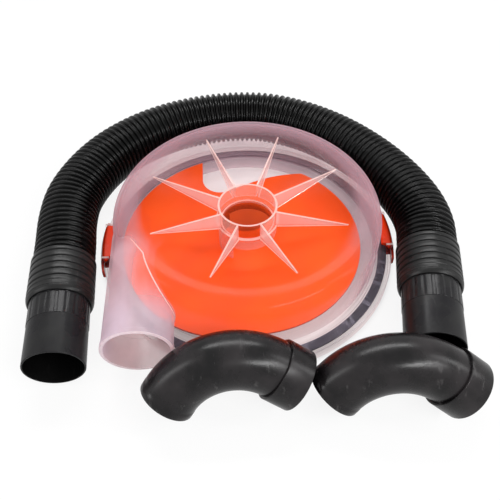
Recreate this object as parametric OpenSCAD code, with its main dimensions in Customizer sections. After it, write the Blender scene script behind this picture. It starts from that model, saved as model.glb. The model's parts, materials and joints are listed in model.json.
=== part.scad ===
// Cyclone dust separator kit: a clear separator head that clips on a bucket, a ribbed hose with
// a swivel cuff at each end, and two loose elbows. Millimetres, +Z up.
// The origin is on the separator's axis, on the surface that the kit lies on.

/* [Separator head] */
// Outer radius of the head's upright wall
shell_r = 141; // [136:1:150]
// Wall of the clear mouldings
shell_wall = 2.6; // [2:0.1:3]
// Height of the crest, the highest ring of the top
crest_z = 75.5; // [70:0.5:84]
// Distance from the wall's outer face in to where the dished top turns flat into the crest
crest_inset = 25; // [22:1:31]
// Radius of the rounded shoulder outside the crest
shoulder_r = 18; // [12:1:22]
// Slope of the dished top, in degrees
dish_slope = 20; // [16:1:22]
// Radius of the blend between the dish and the crest
crest_blend_r = 30; // [15:1:40]

/* [Outlet hub] */
// Bore radius of the outlet socket
hub_bore_r = 29.25; // [28:0.05:30]
// Wall of the outlet collar and of the tube below it
hub_wall = 2.25; // [2:0.05:3]
// Height of the collar's rim
hub_top_z = 68; // [64:0.5:72]
// Depth of the socket down to its stop
hub_socket_depth = 22.5; // [16:0.5:24]
// Width of the stop ring at the bottom of the socket
hub_stop_w = 1.6; // [1:0.1:3]
// Thickness of the stop ring
hub_stop_t = 2.5; // [1.5:0.5:4]
// Number of gusset ribs round the hub
rib_count = 8; // [4:1:12]
// Thickness of a gusset rib
rib_t = 2.2; // [1.6:0.1:3]
// Distance from the crest in to the ribs' tips
rib_inset = 9; // [6:1:21]
// Height of the tube's lower end over the baffle's centre
outlet_gap = 20; // [12:1:24]
// Running gap under the long side of the tube
shroud_gap = 0.3; // [0.2:0.1:2]
// Directions between which the tube's long side lies, in degrees
shroud_from = 130; // [100:5:150]
// End of the tube's long side, in degrees
shroud_to = 235; // [200:5:260]

/* [Inlet] */
// Distance of the inlet's axis in from the wall's outer face
inlet_inset = 31.6; // [31:0.1:33.4]
// Outer radius of the inlet tube
inlet_r = 33; // [31:0.5:34]
// Bore radius of the inlet's socket
inlet_bore_r = 30.4; // [29:0.1:31]
// Depth of the inlet's socket
inlet_socket_depth = 32; // [24:1:34]
// Step from the socket down to the duct behind it
inlet_step = 0.6; // [0.4:0.1:1]
// Width of the bead round the inlet's mouth
inlet_lip_w = 0.6; // [0.4:0.1:2]
// Length of the bead round the inlet's mouth
inlet_lip_len = 5; // [2:0.5:8]
// Distance by which the inlet's mouth stands out past the wall
inlet_reach = 14; // [9:1:24]

/* [Base ring] */
// Distance by which the skirt stands out past the wall
flange_reach = 18; // [15:0.5:25]
// Wall of the skirt
skirt_wall = 2.4; // [2:0.1:3]
// Height of the flange's top over the skirt's foot
flange_z = 13; // [12:0.5:14]
// Thickness of the flange
flange_t = 2.2; // [1.8:0.1:2.6]
// Height of the sponge gasket
gasket_h = 3; // [2:0.5:4]
// Distance from the skirt's inner face in to the gasket
gasket_inset = 3; // [2.6:0.1:5]
// Width of the gasket
gasket_w = 8.8; // [6:0.1:10]
// Side gap between the gasket and its channel
gasket_gap = 0.2; // [0.1:0.1:0.4]
// Step by which the skirt's foot opens to take the rim
lead_in = 0.6; // [0.3:0.1:1]
// Width of the channel's inner rail
rail_w = 2; // [1.5:0.1:3]

/* [Baffle] */
// Distance of the baffle's narrow rim in from the wall's outer face
baffle_inset = 16; // [13:0.5:21]
// Gap between the baffle's wide rim and the wall
rim_gap = 0.6; // [0.4:0.1:2]
// Direction in which the wide rim starts to draw in, in degrees
wide_to = 218; // [205:1:230]
// Angle over which it draws in
wide_ease = 64; // [50:1:72]
// Thickness of the baffle
baffle_t = 2.4; // [2:0.1:3]
// Depth of the rebate in the ledge that holds the baffle
rebate_d = 1.4; // [1:0.1:1.6]
// Width of the ledge under the baffle's edge
ledge_w = 4; // [3:0.5:6]
// Fall of the baffle from its edge to its centre
baffle_fall = 3; // [1:0.5:3]
// Radius of the baffle's level centre
baffle_centre_r = 45; // [40:1:60]
// Width of the baffle's level edge
baffle_edge_w = 21; // [17:1:35]
// Radius of the slot's round wide end
slot_end_r = 21; // [14:1:22]
// Direction of the slot's wide end, in degrees
slot_from = 106; // [95:1:115]
// Angle between the wide end's straight side and the radius
slot_lean = 16; // [0:1:20]
// Direction in which the slot runs out, in degrees
slot_to = 52; // [48:1:70]
// Power by which the slot's inner edge runs out to the rim
slot_power = 1.7; // [1:0.1:2]
// Distance from the narrow rim in to the slot's inner edge at the wide end
slot_reach = 45; // [37:1:47]

/* [Latches] */
// Distance of the latch pin's axis in from the skirt's outer face
latch_pin_inset = 4.5; // [4:0.1:5.5]
// Height of the latch pin's axis over the flange
latch_pin_rise = 4; // [4:0.1:5]
// Radius of the latch pin
latch_pin_r = 1.8; // [1.5:0.1:1.8]
// Running clearance of the pin in the ears
latch_pin_gap = 0.08; // [0.05:0.01:0.1]
// Wall of the latch round its pin
barrel_wall = 1.8; // [1.3:0.1:1.8]
// Half of the gap between the two ears
ear_half_gap = 22.5; // [18:0.5:26]
// Thickness of an ear
ear_t = 2.6; // [2:0.1:3.4]
// Gap between the latch and each ear
latch_side_gap = 0.5; // [0.3:0.1:1]
// Thickness of the latch's outer plate
latch_t = 2.9; // [2.2:0.1:3.2]
// Half of the width of the latch's lower plate
latch_half_w = 35.5; // [30:0.5:38]
// Height of the lower plate's top edge
latch_plate_z = 11; // [9:0.5:11.5]
// Gap between the latch and the base ring
latch_ring_gap = 0.5; // [0.4:0.1:0.8]
// Reach of the toe inside the skirt's outer face
toe_reach = 6.4; // [4:0.1:6.4]

/* [Hose] */
// Radius of the hose over its ribs
hose_r = 31.2; // [30:0.1:32]
// Depth of the grooves between the ribs
rib_d = 2.6; // [1.5:0.1:3]
// Distance from rib to rib
rib_pitch = 6.8; // [6:0.1:9]
// Wall of the hose below its grooves
hose_wall = 1.6; // [1.2:0.1:2]
// Length of hose inside each collar
hose_tuck = 38; // [30:1:38]

/* [Cuffs] */
// Outer radius of the collars
collar_r = 32.5; // [32.5:0.1:35]
// Length of a collar
collar_len = 54; // [54:1:64]
// Distance between the collar's grooves
collar_pitch = 7.9; // [7:0.1:7.9]
// Outer radius of the nozzle
nozzle_r = 28.6; // [28:0.05:28.9]
// Wall of the nozzle
nozzle_wall = 1.7; // [1.5:0.1:2.4]
// Length of nozzle that stands out of the collar
nozzle_len = 67; // [50:1:90]
// Running gap between nozzle and collar
cuff_gap = 0.4; // [0.3:0.05:0.6]
// Length of the nozzle's retaining flange
flange_len = 7; // [4:0.5:8]
// Number of flutes on the nozzle
flute_count = 20; // [12:1:28]
// Length of the flutes
flute_len = 23; // [12:1:30]

/* [Elbows] */
// Outer radius of the elbow's bend
elbow_r = 26.4; // [25:0.1:27]
// Radius of the bend's centreline
bend_r = 68; // [60:1:80]
// Wall of the elbow
elbow_wall = 2.2; // [1.8:0.1:3]
// Length of the straight small end
small_end_len = 7; // [4:1:16]
// Step from the bend up to the small end
small_end_step = 0.2; // [0.1:0.1:0.5]
// Length of the cuff on the large end
cuff_len = 25; // [20:1:32]
// Wall of the cuff
cuff_wall = 2.1; // [1.6:0.1:2.4]
// Depth of the cuff's socket
cuff_socket_depth = 18; // [12:1:19]
// Clearance of the socket round another elbow's small end
socket_gap = 0.3; // [0.1:0.05:0.5]

/* [Hidden] */
$fn = 96;

// Overshoot of a cutter past the face that it cuts
cut = 1;

// Separator: radii that follow the wall, and the hub that shares its wall with the tube below it
shell_in_r = shell_r - shell_wall;
crest_r = shell_r - crest_inset;
shoulder_z = crest_z - shoulder_r;
rib_tip_r = crest_r - rib_inset;
hub_r = hub_bore_r + hub_wall;
hub_stop_z = hub_top_z - hub_socket_depth;

// Base ring, from the top down
flange_under_z = flange_z - flange_t;
gasket_z = flange_under_z - gasket_h;
skirt_r = shell_r + flange_reach;
skirt_in_r = skirt_r - skirt_wall;
gasket_out_r = skirt_in_r - gasket_inset;
gasket_in_r = gasket_out_r - gasket_w;
channel_out_r = gasket_out_r + gasket_gap;
channel_in_r = gasket_in_r - gasket_gap;

// Latches: the toe passes the skirt through a notch in its foot
latch_pin_x = skirt_r - latch_pin_inset;
latch_pin_z = flange_z + latch_pin_rise;
barrel_r = latch_pin_r + barrel_wall;
toe_notch_z = 4.6;

// Baffle, seated in the ledge's rebate
seat_gap = 0.1;
baffle_r = shell_r - baffle_inset;
baffle_wide_r = shell_in_r - rim_gap;
wide_end_r = baffle_r - 3;
baffle_edge_r = baffle_r - baffle_edge_w;
slot_in_r = baffle_r - slot_reach;
ledge_z = flange_z - rebate_d;
baffle_edge_z = ledge_z + seat_gap;
baffle_centre_z = baffle_edge_z - baffle_fall;
baffle_centre_top_z = baffle_centre_z + baffle_t;
tube_z = baffle_centre_top_z + outlet_gap;
shroud_z = baffle_centre_top_z + shroud_gap;

// Inlet: its top just clears the crest, and its far end tapers into the shell's wall
flush_step = 0.4;
inlet_x = inlet_inset - shell_r;
inlet_mouth_y = shell_r + inlet_reach;
inlet_z = crest_z - inlet_r + flush_step;
inlet_taper_len = 16;
inlet_taper = 1.8;
duct_r = inlet_bore_r - inlet_step;
crest_out_r = shell_r - shoulder_r;
inlet_clip_r = crest_out_r - 2;
duct_clip_r = inlet_clip_r - 2;
duct_end_y = -8;
// Directions between which the inlet breaks through the wall, in degrees
breach_margin = 1;
breach_from = 180 - asin(duct_end_y / shell_r) - breach_margin;
breach_to = 180 + acos((inlet_r + inlet_x) / -shell_r);

// Hose: it lies level, at the height that the collars hold it
hose_z = collar_r;
straight_len = 24.5;
hose_sides = 8;
core_r = hose_r - rib_d;
tuck_r = core_r + 0.3;
bore_r = core_r - hose_wall;

// The hose's two ends, where it enters its collars, and the direction it leaves them in
left_end_out = 33.5;
left_end_back = 118.5;
left_end = [-skirt_r - left_end_out, left_end_back - skirt_r];
left_turn = 3.5;
right_end_out = 28.5;
right_end_back = 114.5;
right_end = [skirt_r + right_end_out, right_end_back - skirt_r];
right_turn = -11;
// What the hose passes between its straight ends: distance out from the skirt, and direction
route_gaps = [
    [38.5, 174.26], [42.6, 164.2], [43.4, 153.92], [43.4, 143.6], [42.1, 133.41], [40.4, 123.1],
    [38.7, 112.68], [37.3, 102.1], [36.6, 91.29], [35.7, 80.5], [32.2, 69.68], [28.6, 58.5],
    [26, 47.1], [25.3, 35.5], [27.1, 23.8], [30.7, 12.8], [34, 3.13]
];
route = [for (g = route_gaps) (skirt_r + g[0]) * [cos(g[1]), sin(g[1])]];

// Elbow: the bend's spigot fills the cuff up to the socket's floor
elbow_bore_r = elbow_r - elbow_wall;
small_end_r = elbow_r + small_end_step;
socket_r = small_end_r + socket_gap;
cuff_r = socket_r + cuff_wall;
spigot_len = cuff_len - cuff_socket_depth;
glue_gap = 0.1;

// Elbows as they lie: the bend's outermost centre point, its lean, roll and turn. The left one lies
// beside the inlet's mouth, and the right one beside the left one, in front of the right nozzle
left_elbow_shift = 72.4;
left_elbow_out = 14;
left_elbow_z = 47.8;
left_apex = [inlet_x + left_elbow_shift, -skirt_r - left_elbow_out, left_elbow_z];
left_pose = [59, -9, 7];
elbow_spacing = 153;
right_elbow_gap = 20.7;
right_elbow_z = 48.9;
nozzle_mouth_u = collar_len + nozzle_len;
right_mouth_y = right_end.y - nozzle_mouth_u * cos(right_turn);
right_apex = [left_apex.x + elbow_spacing, right_mouth_y - right_elbow_gap, right_elbow_z];
right_pose = [66, -8, -1];

// ---- Separator head ----

// Points of an arc, from angle a0 to angle a1
function arc(centre, r, a0, a1, steps) = [
    for (i = [0 : steps]) let (a = a0 + (a1 - a0) * i / steps) centre + r * [cos(a), sin(a)]
];

// The top's section from the hub out to the wall's foot, drawn in by d from its outer face
function top_line(d) = let (
    blend_centre = [crest_r, crest_z - crest_blend_r],
    dish_top = blend_centre + (crest_blend_r - d) * [-sin(dish_slope), cos(dish_slope)],
    foot_r = hub_bore_r
) concat(
    [[foot_r, dish_top.y - (dish_top.x - foot_r) * tan(dish_slope)]],
    arc(blend_centre, crest_blend_r - d, 90 + dish_slope, 90, 4),
    arc([crest_out_r, crest_z - shoulder_r], shoulder_r - d, 90, 0, 12),
    [[shell_r - d, flange_z]]
);

// Height of the dish's outer face at radius r
function dish_z(r) = top_line(0)[0].y + (r - hub_bore_r) * tan(dish_slope);

function reversed(list) = [for (i = [len(list) - 1 : -1 : 0]) list[i]];

// Everything under the top's outer face, as one solid
module shell_envelope() {
    rotate_extrude() polygon(concat([[0, flange_z], [0, top_line(0)[0].y]], top_line(0)));
}

// The top's whole section, from the hub to the wall's foot
module top_section() {
    polygon(concat(top_line(0), reversed(top_line(shell_wall))));
}

// A bar of radius r along the inlet's axis, from the plane y0 back to y1
module inlet_bar(r, y0, y1) {
    translate([inlet_x, y1, inlet_z]) rotate([90, 0, 0]) cylinder(h = y1 - y0, r = r);
}

// The annular wall that starts at r, which keeps the inlet clear of the dish
module column(r) {
    cylinder(h = crest_z + 10, r = r);
}

module gusset() {
    rotate([90, 0, 0]) translate([0, 0, -rib_t / 2]) linear_extrude(rib_t) polygon([
        [hub_bore_r, dish_z(hub_r) - 1],
        [hub_bore_r, hub_top_z - 0.2],
        [hub_r, hub_top_z - 0.2],
        [rib_tip_r, dish_z(rib_tip_r) + 0.6],
        [rib_tip_r, dish_z(rib_tip_r) - 1]
    ]);
}

// Where the inlet's duct runs in through the wall
module duct_cut() {
    difference() {
        inlet_bar(duct_r, -shell_r - cut, duct_end_y);
        column(duct_clip_r);
    }
}

// The shell's section between radii r0 and r1 and heights z0 and z1
module shell_band(r0, r1, z0, z1) {
    intersection() {
        top_section();
        translate([r0, z0]) square([r1 - r0, z1 - z0]);
    }
}

// Revolves a section round the wall, past the inlet's breach
module past_breach() {
    rotate([0, 0, breach_to]) rotate_extrude(angle = 360 - (breach_to - breach_from)) children();
}

// Upright wall
module shell_wall() {
    color([0.86, 0.84, 0.87, 0.45]) past_breach()
        shell_band(crest_out_r, shell_r + cut, 0, shoulder_z);
}

// Rounded shoulder, from the wall up to the crest
module shell_shoulder() {
    color([0.86, 0.84, 0.87, 0.45]) past_breach()
        shell_band(crest_r, shell_r + cut, shoulder_z, crest_z + cut);
}

// Wall and shoulder where the inlet breaks through them
module inlet_wall() {
    color([0.86, 0.84, 0.87, 0.45]) difference() {
        rotate([0, 0, breach_from]) rotate_extrude(angle = breach_to - breach_from)
            shell_band(crest_r, shell_r + cut, 0, crest_z + cut);
        duct_cut();
    }
}

// Dished top inside the crest
module shell_dish() {
    color([0.87, 0.85, 0.88, 0.45]) difference() {
        rotate_extrude() shell_band(hub_bore_r, crest_r, 0, crest_z + cut);
        cylinder(h = crest_z, r = hub_r);
    }
}

// Gusset ribs that stand on the dish, round the hub
module hub_gussets() {
    color([0.87, 0.85, 0.88, 0.45]) difference() {
        for (i = [0 : rib_count - 1]) rotate([0, 0, (i + 0.5) * 360 / rib_count]) gusset();
        shell_envelope();
        cylinder(h = crest_z, r = hub_r);
    }
}

// Outlet collar, socket stop and the tube that reaches down to the baffle, cut short on one side
module outlet_hub() {
    lip = 0.6;
    open_sweep = 360 - (shroud_to - shroud_from);
    color([0.88, 0.86, 0.88, 0.45]) difference() {
        rotate_extrude() polygon([
            [hub_bore_r, hub_top_z - lip], [hub_bore_r + lip, hub_top_z], [hub_r, hub_top_z],
            [hub_r, shroud_z], [hub_bore_r, shroud_z],
            [hub_bore_r, hub_stop_z - hub_stop_t],
            [hub_bore_r - hub_stop_w, hub_stop_z - hub_stop_t],
            [hub_bore_r - hub_stop_w, hub_stop_z],
            [hub_bore_r, hub_stop_z]
        ]);
        rotate([0, 0, shroud_to]) rotate_extrude(angle = open_sweep)
            translate([hub_bore_r - cut, shroud_z - cut])
                square([hub_wall + 2 * cut, tube_z - shroud_z + cut]);
    }
}

module inlet_tube() {
    socket_y = inlet_socket_depth - inlet_mouth_y;
    color([0.88, 0.85, 0.88, 0.45]) difference() {
        union() {
            inlet_bar(inlet_r, -inlet_mouth_y, duct_end_y - inlet_taper_len);
            inlet_bar(inlet_r + inlet_lip_w, -inlet_mouth_y, inlet_lip_len - inlet_mouth_y);
            translate([inlet_x, duct_end_y, inlet_z]) rotate([90, 0, 0])
                cylinder(h = inlet_taper_len, r1 = inlet_r - inlet_taper, r2 = inlet_r);
        }
        inlet_bar(duct_r, -inlet_mouth_y - cut, duct_end_y + cut);
        inlet_bar(inlet_bore_r, -inlet_mouth_y - cut, socket_y);
        shell_envelope();
        column(inlet_clip_r);
        cylinder(h = flange_z, r = skirt_r);
    }
}

// ---- Base ring ----

// Upright plate that holds one end of a latch pin, with its corners cut
module ear(side) {
    half = latch_pin_r + 2.2;
    top_z = latch_pin_z + half;
    corner = 1.4;
    translate([0, side * (ear_half_gap + ear_t / 2) + ear_t / 2, 0]) rotate([90, 0, 0])
    linear_extrude(ear_t) difference() {
        polygon([
            [latch_pin_x - half - 2, flange_z], [latch_pin_x - half, top_z - corner],
            [latch_pin_x - half + corner, top_z], [latch_pin_x + half - corner, top_z],
            [latch_pin_x + half, top_z - corner], [latch_pin_x + half, flange_z]
        ]);
        translate([latch_pin_x, latch_pin_z]) circle(r = latch_pin_r + latch_pin_gap);
    }
}

module latch_ears() {
    color([0.85, 0.83, 0.86, 0.45]) for (turn = [0, 180]) rotate([0, 0, turn]) {
        ear(1);
        ear(-1);
    }
}

// Radius of the baffle's whole rim in direction a: it follows the wall, and then draws in past the
// narrow rim
function rim_r(a) = let (t = min(max((a - wide_to) / wide_ease, 0), 1))
    baffle_wide_r - (baffle_wide_r - wide_end_r) * (1 - cos(110 * t)) / (1 - cos(110));

// Plate from the height z up, between the baffle's narrow rim and its whole rim grown by gap
module wide_rim(gap, z, h) {
    steps = 36;
    turns = [for (i = [0 : steps]) slot_from + (wide_to + wide_ease - slot_from) * i / steps];
    translate([0, 0, z]) linear_extrude(h) polygon(concat(
        [for (a = turns) (rim_r(a) + gap) * [cos(a), sin(a)]],
        [for (a = reversed(turns)) (wide_end_r - 3) * [cos(a), sin(a)]]
    ));
}

// Flange round the wall's foot, with the ledge and rebate that hold the baffle
module base_ring() {
    bevel = 0.8;
    color([0.84, 0.82, 0.85, 0.45]) difference() {
        rotate_extrude() polygon([
            [baffle_r - ledge_w, flange_under_z], [baffle_r - ledge_w, ledge_z],
            [baffle_r + seat_gap, ledge_z], [baffle_r + seat_gap, flange_z],
            [skirt_r - bevel, flange_z], [skirt_r, flange_z - bevel], [skirt_r, flange_under_z]
        ]);
        wide_rim(seat_gap, ledge_z, rebate_d + cut);
    }
}

// Notch in the skirt's foot for one latch's toe
module toe_notch() {
    half = ear_half_gap + 0.5;
    translate([channel_out_r, -half, -cut]) cube([skirt_r, 2 * half, toe_notch_z + cut]);
}

// Skirt that goes round the bucket's rim, with the gasket channel's outer step
module rim_skirt() {
    color([0.84, 0.82, 0.85, 0.45]) difference() {
        rotate_extrude() polygon([
            [channel_out_r, flange_under_z], [skirt_r, flange_under_z], [skirt_r, 0],
            [skirt_in_r + lead_in, 0], [skirt_in_r + lead_in, toe_notch_z - lead_in],
            [skirt_in_r, toe_notch_z], [skirt_in_r, gasket_z], [channel_out_r, gasket_z]
        ]);
        for (turn = [0, 180]) rotate([0, 0, turn]) toe_notch();
    }
}

// Inner rail of the gasket's channel
module rim_rail() {
    color([0.84, 0.82, 0.85, 0.45]) rotate_extrude() translate([channel_in_r - rail_w, gasket_z])
        square([rail_w, gasket_h]);
}

module rim_gasket() {
    color([0.42, 0.43, 0.48]) rotate_extrude() translate([gasket_in_r, gasket_z])
        square([gasket_out_r - gasket_in_r, gasket_h]);
}

// ---- Baffle ----

// Plan of the drop slot: a round wide end, from which the inner edge spirals out to the narrow rim
module slot_plan() {
    steps = 18;
    past_rim = baffle_wide_r + 4;
    run_out_r = baffle_r + 4;
    end_centre_r = slot_in_r + slot_end_r;
    end_centre = end_centre_r * [cos(slot_from), sin(slot_from)];
    inner = [for (i = [1 : steps]) let (
        t = i / steps,
        a = slot_from + (slot_to - slot_from) * t,
        r = slot_in_r + (run_out_r - slot_in_r) * pow(t, slot_power)
    ) r * [cos(a), sin(a)]];
    outer = [for (i = [0 : steps]) let (a = slot_to + (slot_from - slot_to) * i / steps)
        past_rim * [cos(a), sin(a)]];
    polygon(concat([end_centre], inner, outer));
    translate(end_centre) circle(r = slot_end_r);
    translate(end_centre) rotate(slot_from - slot_lean)
        square([past_rim - end_centre_r, slot_end_r]);
}

module baffle() {
    color([1, 0.33, 0.08]) difference() {
        union() {
            rotate_extrude() polygon([
                [0, baffle_centre_z], [baffle_centre_r, baffle_centre_z],
                [baffle_edge_r, baffle_edge_z], [baffle_r, baffle_edge_z],
                [baffle_r, baffle_edge_z + baffle_t], [baffle_edge_r, baffle_edge_z + baffle_t],
                [baffle_centre_r, baffle_centre_top_z], [0, baffle_centre_top_z]
            ]);
            wide_rim(0, baffle_edge_z, baffle_t);
        }
        translate([0, 0, baffle_centre_z - cut]) linear_extrude(baffle_fall + baffle_t + 2 * cut)
            slot_plan();
    }
}

// ---- Latches ----

module latch_pin() {
    reach = ear_half_gap + ear_t;
    color([0.78, 0.1, 0.02]) translate([latch_pin_x, reach, latch_pin_z]) rotate([90, 0, 0])
        cylinder(h = 2 * reach, r = latch_pin_r);
}

// Revolves a section by the angle that spans y from -half_w to half_w at radius r
module bowed(half_w, r) {
    sweep = 2 * asin(half_w / r);
    rotate([0, 0, -sweep / 2]) rotate_extrude(angle = sweep) children();
}

// The space beyond half_w on both sides of the latch, from z0 up to z1
module beside(half_w, z0, z1) {
    for (side = [0, 1]) mirror([0, side, 0]) translate([0, half_w, z0])
        cube([skirt_r + latch_t + 10, latch_half_w, z1 - z0]);
}

// A lever bowed about the separator's axis: wide lower plate, and a thumb pad, a pin barrel and a
// toe between the ears
module latch() {
    half_w = ear_half_gap - latch_side_gap;
    plate_in = skirt_r + latch_ring_gap;
    plate_out = plate_in + latch_t;
    over_z = flange_z + latch_ring_gap;
    pad_x = latch_pin_x - barrel_r;
    pad_z = latch_pin_z + barrel_r;
    toe_x = skirt_r - toe_reach;
    foot_z = 0.8;
    toe_z = foot_z + 2.2;
    edge = 1.2;
    wing_relief = 0.3;
    color([0.86, 0.12, 0.02]) difference() {
        union() {
            bowed(latch_half_w, plate_out) polygon([
                [toe_x, foot_z], [toe_x + edge, toe_z], [plate_in, toe_z + edge],
                [plate_in, over_z - edge], [plate_in - edge, over_z],
                [latch_pin_x + 2, over_z], [pad_x + 1, latch_pin_z],
                [pad_x - 3.5, latch_pin_z + 1.4], [pad_x - 3.6, pad_z - 0.4],
                [pad_x - 2.4, pad_z + 0.6], [latch_pin_x + 2, pad_z],
                [plate_out - 2.8, latch_pin_z + 1.2], [plate_out - 1, flange_z + 1],
                [plate_out, latch_plate_z - edge], [plate_out, foot_z + edge],
                [plate_out - edge, foot_z]
            ]);
            translate([latch_pin_x, half_w + cut, latch_pin_z]) rotate([90, 0, 0])
                cylinder(h = 2 * (half_w + cut), r = barrel_r);
        }
        beside(half_w, latch_plate_z, pad_z + 2);
        intersection() {
            beside(half_w, -cut, latch_plate_z + cut);
            cylinder(h = latch_plate_z + 2 * cut, r = plate_in + wing_relief);
        }
        translate([latch_pin_x, half_w + 2 * cut, latch_pin_z]) rotate([90, 0, 0])
            cylinder(h = 2 * (half_w + 2 * cut), r = latch_pin_r);
    }
}

// ---- Hose ----

function turned(a) = [-sin(a), cos(a)];
function hermite(p, q, u, v, t) =
    (2 * t * t * t - 3 * t * t + 1) * p + (t * t * t - 2 * t * t + t) * u
    + (3 * t * t - 2 * t * t * t) * q + (t * t * t - t * t) * v;

// The bent part of the hose: a smooth curve through its two straight ends and the route
bent = concat(
    [left_end + straight_len * turned(left_turn)],
    route,
    [right_end + straight_len * turned(right_turn)]
);
last = len(bent) - 1;
slopes = [for (i = [0 : last])
    i == 0 ? norm(bent[1] - bent[0]) * turned(left_turn)
    : i == last ? -norm(bent[last] - bent[last - 1]) * turned(right_turn)
    : (bent[i + 1] - bent[i - 1]) / 2];
curve_steps = 10;
centreline = concat(
    [left_end - hose_tuck * turned(left_turn)],
    [for (i = [0 : last - 1], k = [0 : curve_steps - 1])
        hermite(bent[i], bent[i + 1], slopes[i], slopes[i + 1], k / curve_steps)],
    [bent[last], right_end - hose_tuck * turned(right_turn)]
);
// Distance along the centreline of each of its points
run = [for (i = 0, s = 0; i < len(centreline);
    s = s + (i + 1 < len(centreline) ? norm(centreline[i + 1] - centreline[i]) : 0), i = i + 1) s];
hose_len = run[len(run) - 1];
x_at = [for (i = [0 : len(run) - 1]) [run[i], centreline[i].x]];
y_at = [for (i = [0 : len(run) - 1]) [run[i], centreline[i].y]];
function point(s) = [lookup(s, x_at), lookup(s, y_at)];
function heading(s) = let (d = point(min(s + 2, hose_len)) - point(max(s - 2, 0))) d / norm(d);

// One ring of the hose at distance s, its flats level at the top and the bottom
function ring(s, r) = let (p = point(s), d = heading(s)) [
    for (i = [0 : hose_sides - 1]) let (a = (i + 0.5) * 360 / hose_sides)
        [p.x + r * cos(a) * d.y, p.y - r * cos(a) * d.x, hose_z + r * sin(a)]
];

ribbed_len = hose_len - 2 * hose_tuck;
hose_ribs = floor(ribbed_len / rib_pitch);
// Distance along the hose and radius of each outer ring: plain tucked ends, ribs between them
outer_rings = concat(
    [[0, tuck_r], [hose_tuck, tuck_r]],
    [for (i = [0 : hose_ribs - 1], k = [0, 1])
        [hose_tuck + (i + (k + 0.5) / 2) * ribbed_len / hose_ribs, k == 0 ? hose_r : core_r]],
    [[hose_len - hose_tuck, tuck_r], [hose_len, tuck_r]]
);
bore_rings = 36;
inner_rings = [for (i = [0 : bore_rings]) [hose_len * i / bore_rings, bore_r]];

// Triangles of the skin between ring i and ring i + 1, counted from point number base
function skin(base, i) = [for (k = [0 : hose_sides - 1], half = [0, 1]) let (
    a = base + i * hose_sides + k,
    b = base + i * hose_sides + (k + 1) % hose_sides
) half == 0 ? [a, b, b + hose_sides] : [a, b + hose_sides, a + hose_sides]];
function flipped(faces) = [for (f = faces) [f[2], f[1], f[0]]];
// Triangles of the end face between the outer ring at a and the inner ring at b
function end_face(a, b) = [for (k = [0 : hose_sides - 1], half = [0, 1]) let (
    n = (k + 1) % hose_sides
) half == 0 ? [a + k, b + k, b + n] : [a + k, b + n, a + n]];

module hose() {
    outer = [for (q = outer_rings) each ring(q[0], q[1])];
    inner = [for (q = inner_rings) each ring(q[0], q[1])];
    base = len(outer);
    outer_last = len(outer_rings) - 1;
    color([0.12, 0.12, 0.13]) polyhedron(
        points = concat(outer, inner),
        faces = concat(
            [for (i = [0 : outer_last - 1]) each skin(0, i)],
            flipped([for (i = [0 : bore_rings - 1]) each skin(base, i)]),
            end_face(0, base),
            flipped(end_face(outer_last * hose_sides, base + bore_rings * hose_sides))
        ),
        convexity = 10
    );
}

// ---- Cuffs ----

// Stations along a cuff, from the collar's mouth on the hose to the nozzle's mouth
recess_u = hose_tuck + 1.3;
flange_u = recess_u + 0.3;
flange_end_u = flange_u + flange_len;
lip_u = flange_end_u + 0.3;
root_end_u = collar_len + flute_len + 2;
nozzle_root_r = nozzle_r + 0.4;
nozzle_flange_r = nozzle_root_r + 1.4;
recess_r = nozzle_flange_r + cuff_gap;
lip_bore_r = nozzle_root_r + cuff_gap;
hose_socket_r = tuck_r + cuff_gap;

// Puts a solid made along +Z at a hose end, with +Z towards the nozzle's mouth
module at_end(end, turn) {
    translate([end.x, end.y, hose_z]) rotate([0, 0, turn]) rotate([90, 0, 0]) children();
}

module collar() {
    groove_r = 1.1;
    groove_rise = 0.2;
    groove_count = 5;
    first_groove_u = 6.4;
    neck_u = flange_u + 3;
    neck_end_u = neck_u + 4.4;
    neck_d = 0.6;
    edge = 0.6;
    end_taper = 2.4;
    color([0.13, 0.13, 0.14]) rotate_extrude() difference() {
        polygon([
            [hose_socket_r, 0], [collar_r - 1.4, 0], [collar_r, 1.6],
            [collar_r, neck_u], [collar_r - neck_d, neck_u + edge],
            [collar_r - neck_d, neck_end_u - edge], [collar_r, neck_end_u],
            [collar_r - edge, collar_len - end_taper], [lip_bore_r + 1.2, collar_len],
            [lip_bore_r, collar_len], [lip_bore_r, lip_u], [recess_r, lip_u],
            [recess_r, recess_u], [hose_socket_r, recess_u]
        ]);
        for (i = [0 : groove_count - 1])
            translate([collar_r + groove_rise, first_groove_u + i * collar_pitch])
                circle(r = groove_r, $fn = 32);
    }
}

module nozzle() {
    flute_w = 3;
    flute_d = 0.5;
    inner_r = nozzle_r - nozzle_wall;
    color([0.15, 0.15, 0.16]) difference() {
        rotate_extrude() polygon([
            [inner_r, flange_u], [nozzle_flange_r, flange_u], [nozzle_flange_r, flange_end_u],
            [nozzle_root_r, flange_end_u], [nozzle_root_r, root_end_u], [nozzle_r, root_end_u],
            [nozzle_r, nozzle_mouth_u - 0.5],
            [nozzle_r - 0.5, nozzle_mouth_u], [inner_r + 0.4, nozzle_mouth_u],
            [inner_r, nozzle_mouth_u - 0.4]
        ]);
        for (i = [0 : flute_count - 1]) rotate([0, 0, i * 360 / flute_count])
            translate([nozzle_root_r - flute_d, -flute_w / 2, collar_len + 1])
                cube([flute_d + cut, flute_w, flute_len]);
    }
}

// ---- Elbows ----

// The bend lies about the origin in the XY plane, its middle on +Y and its large end towards +X
module at_large_end() {
    rotate([0, 0, 45]) translate([bend_r, 0, 0]) rotate([90, 0, 0]) children();
}

module at_small_end() {
    rotate([0, 0, 135]) translate([bend_r, 0, 0]) rotate([-90, 0, 0]) children();
}

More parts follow.
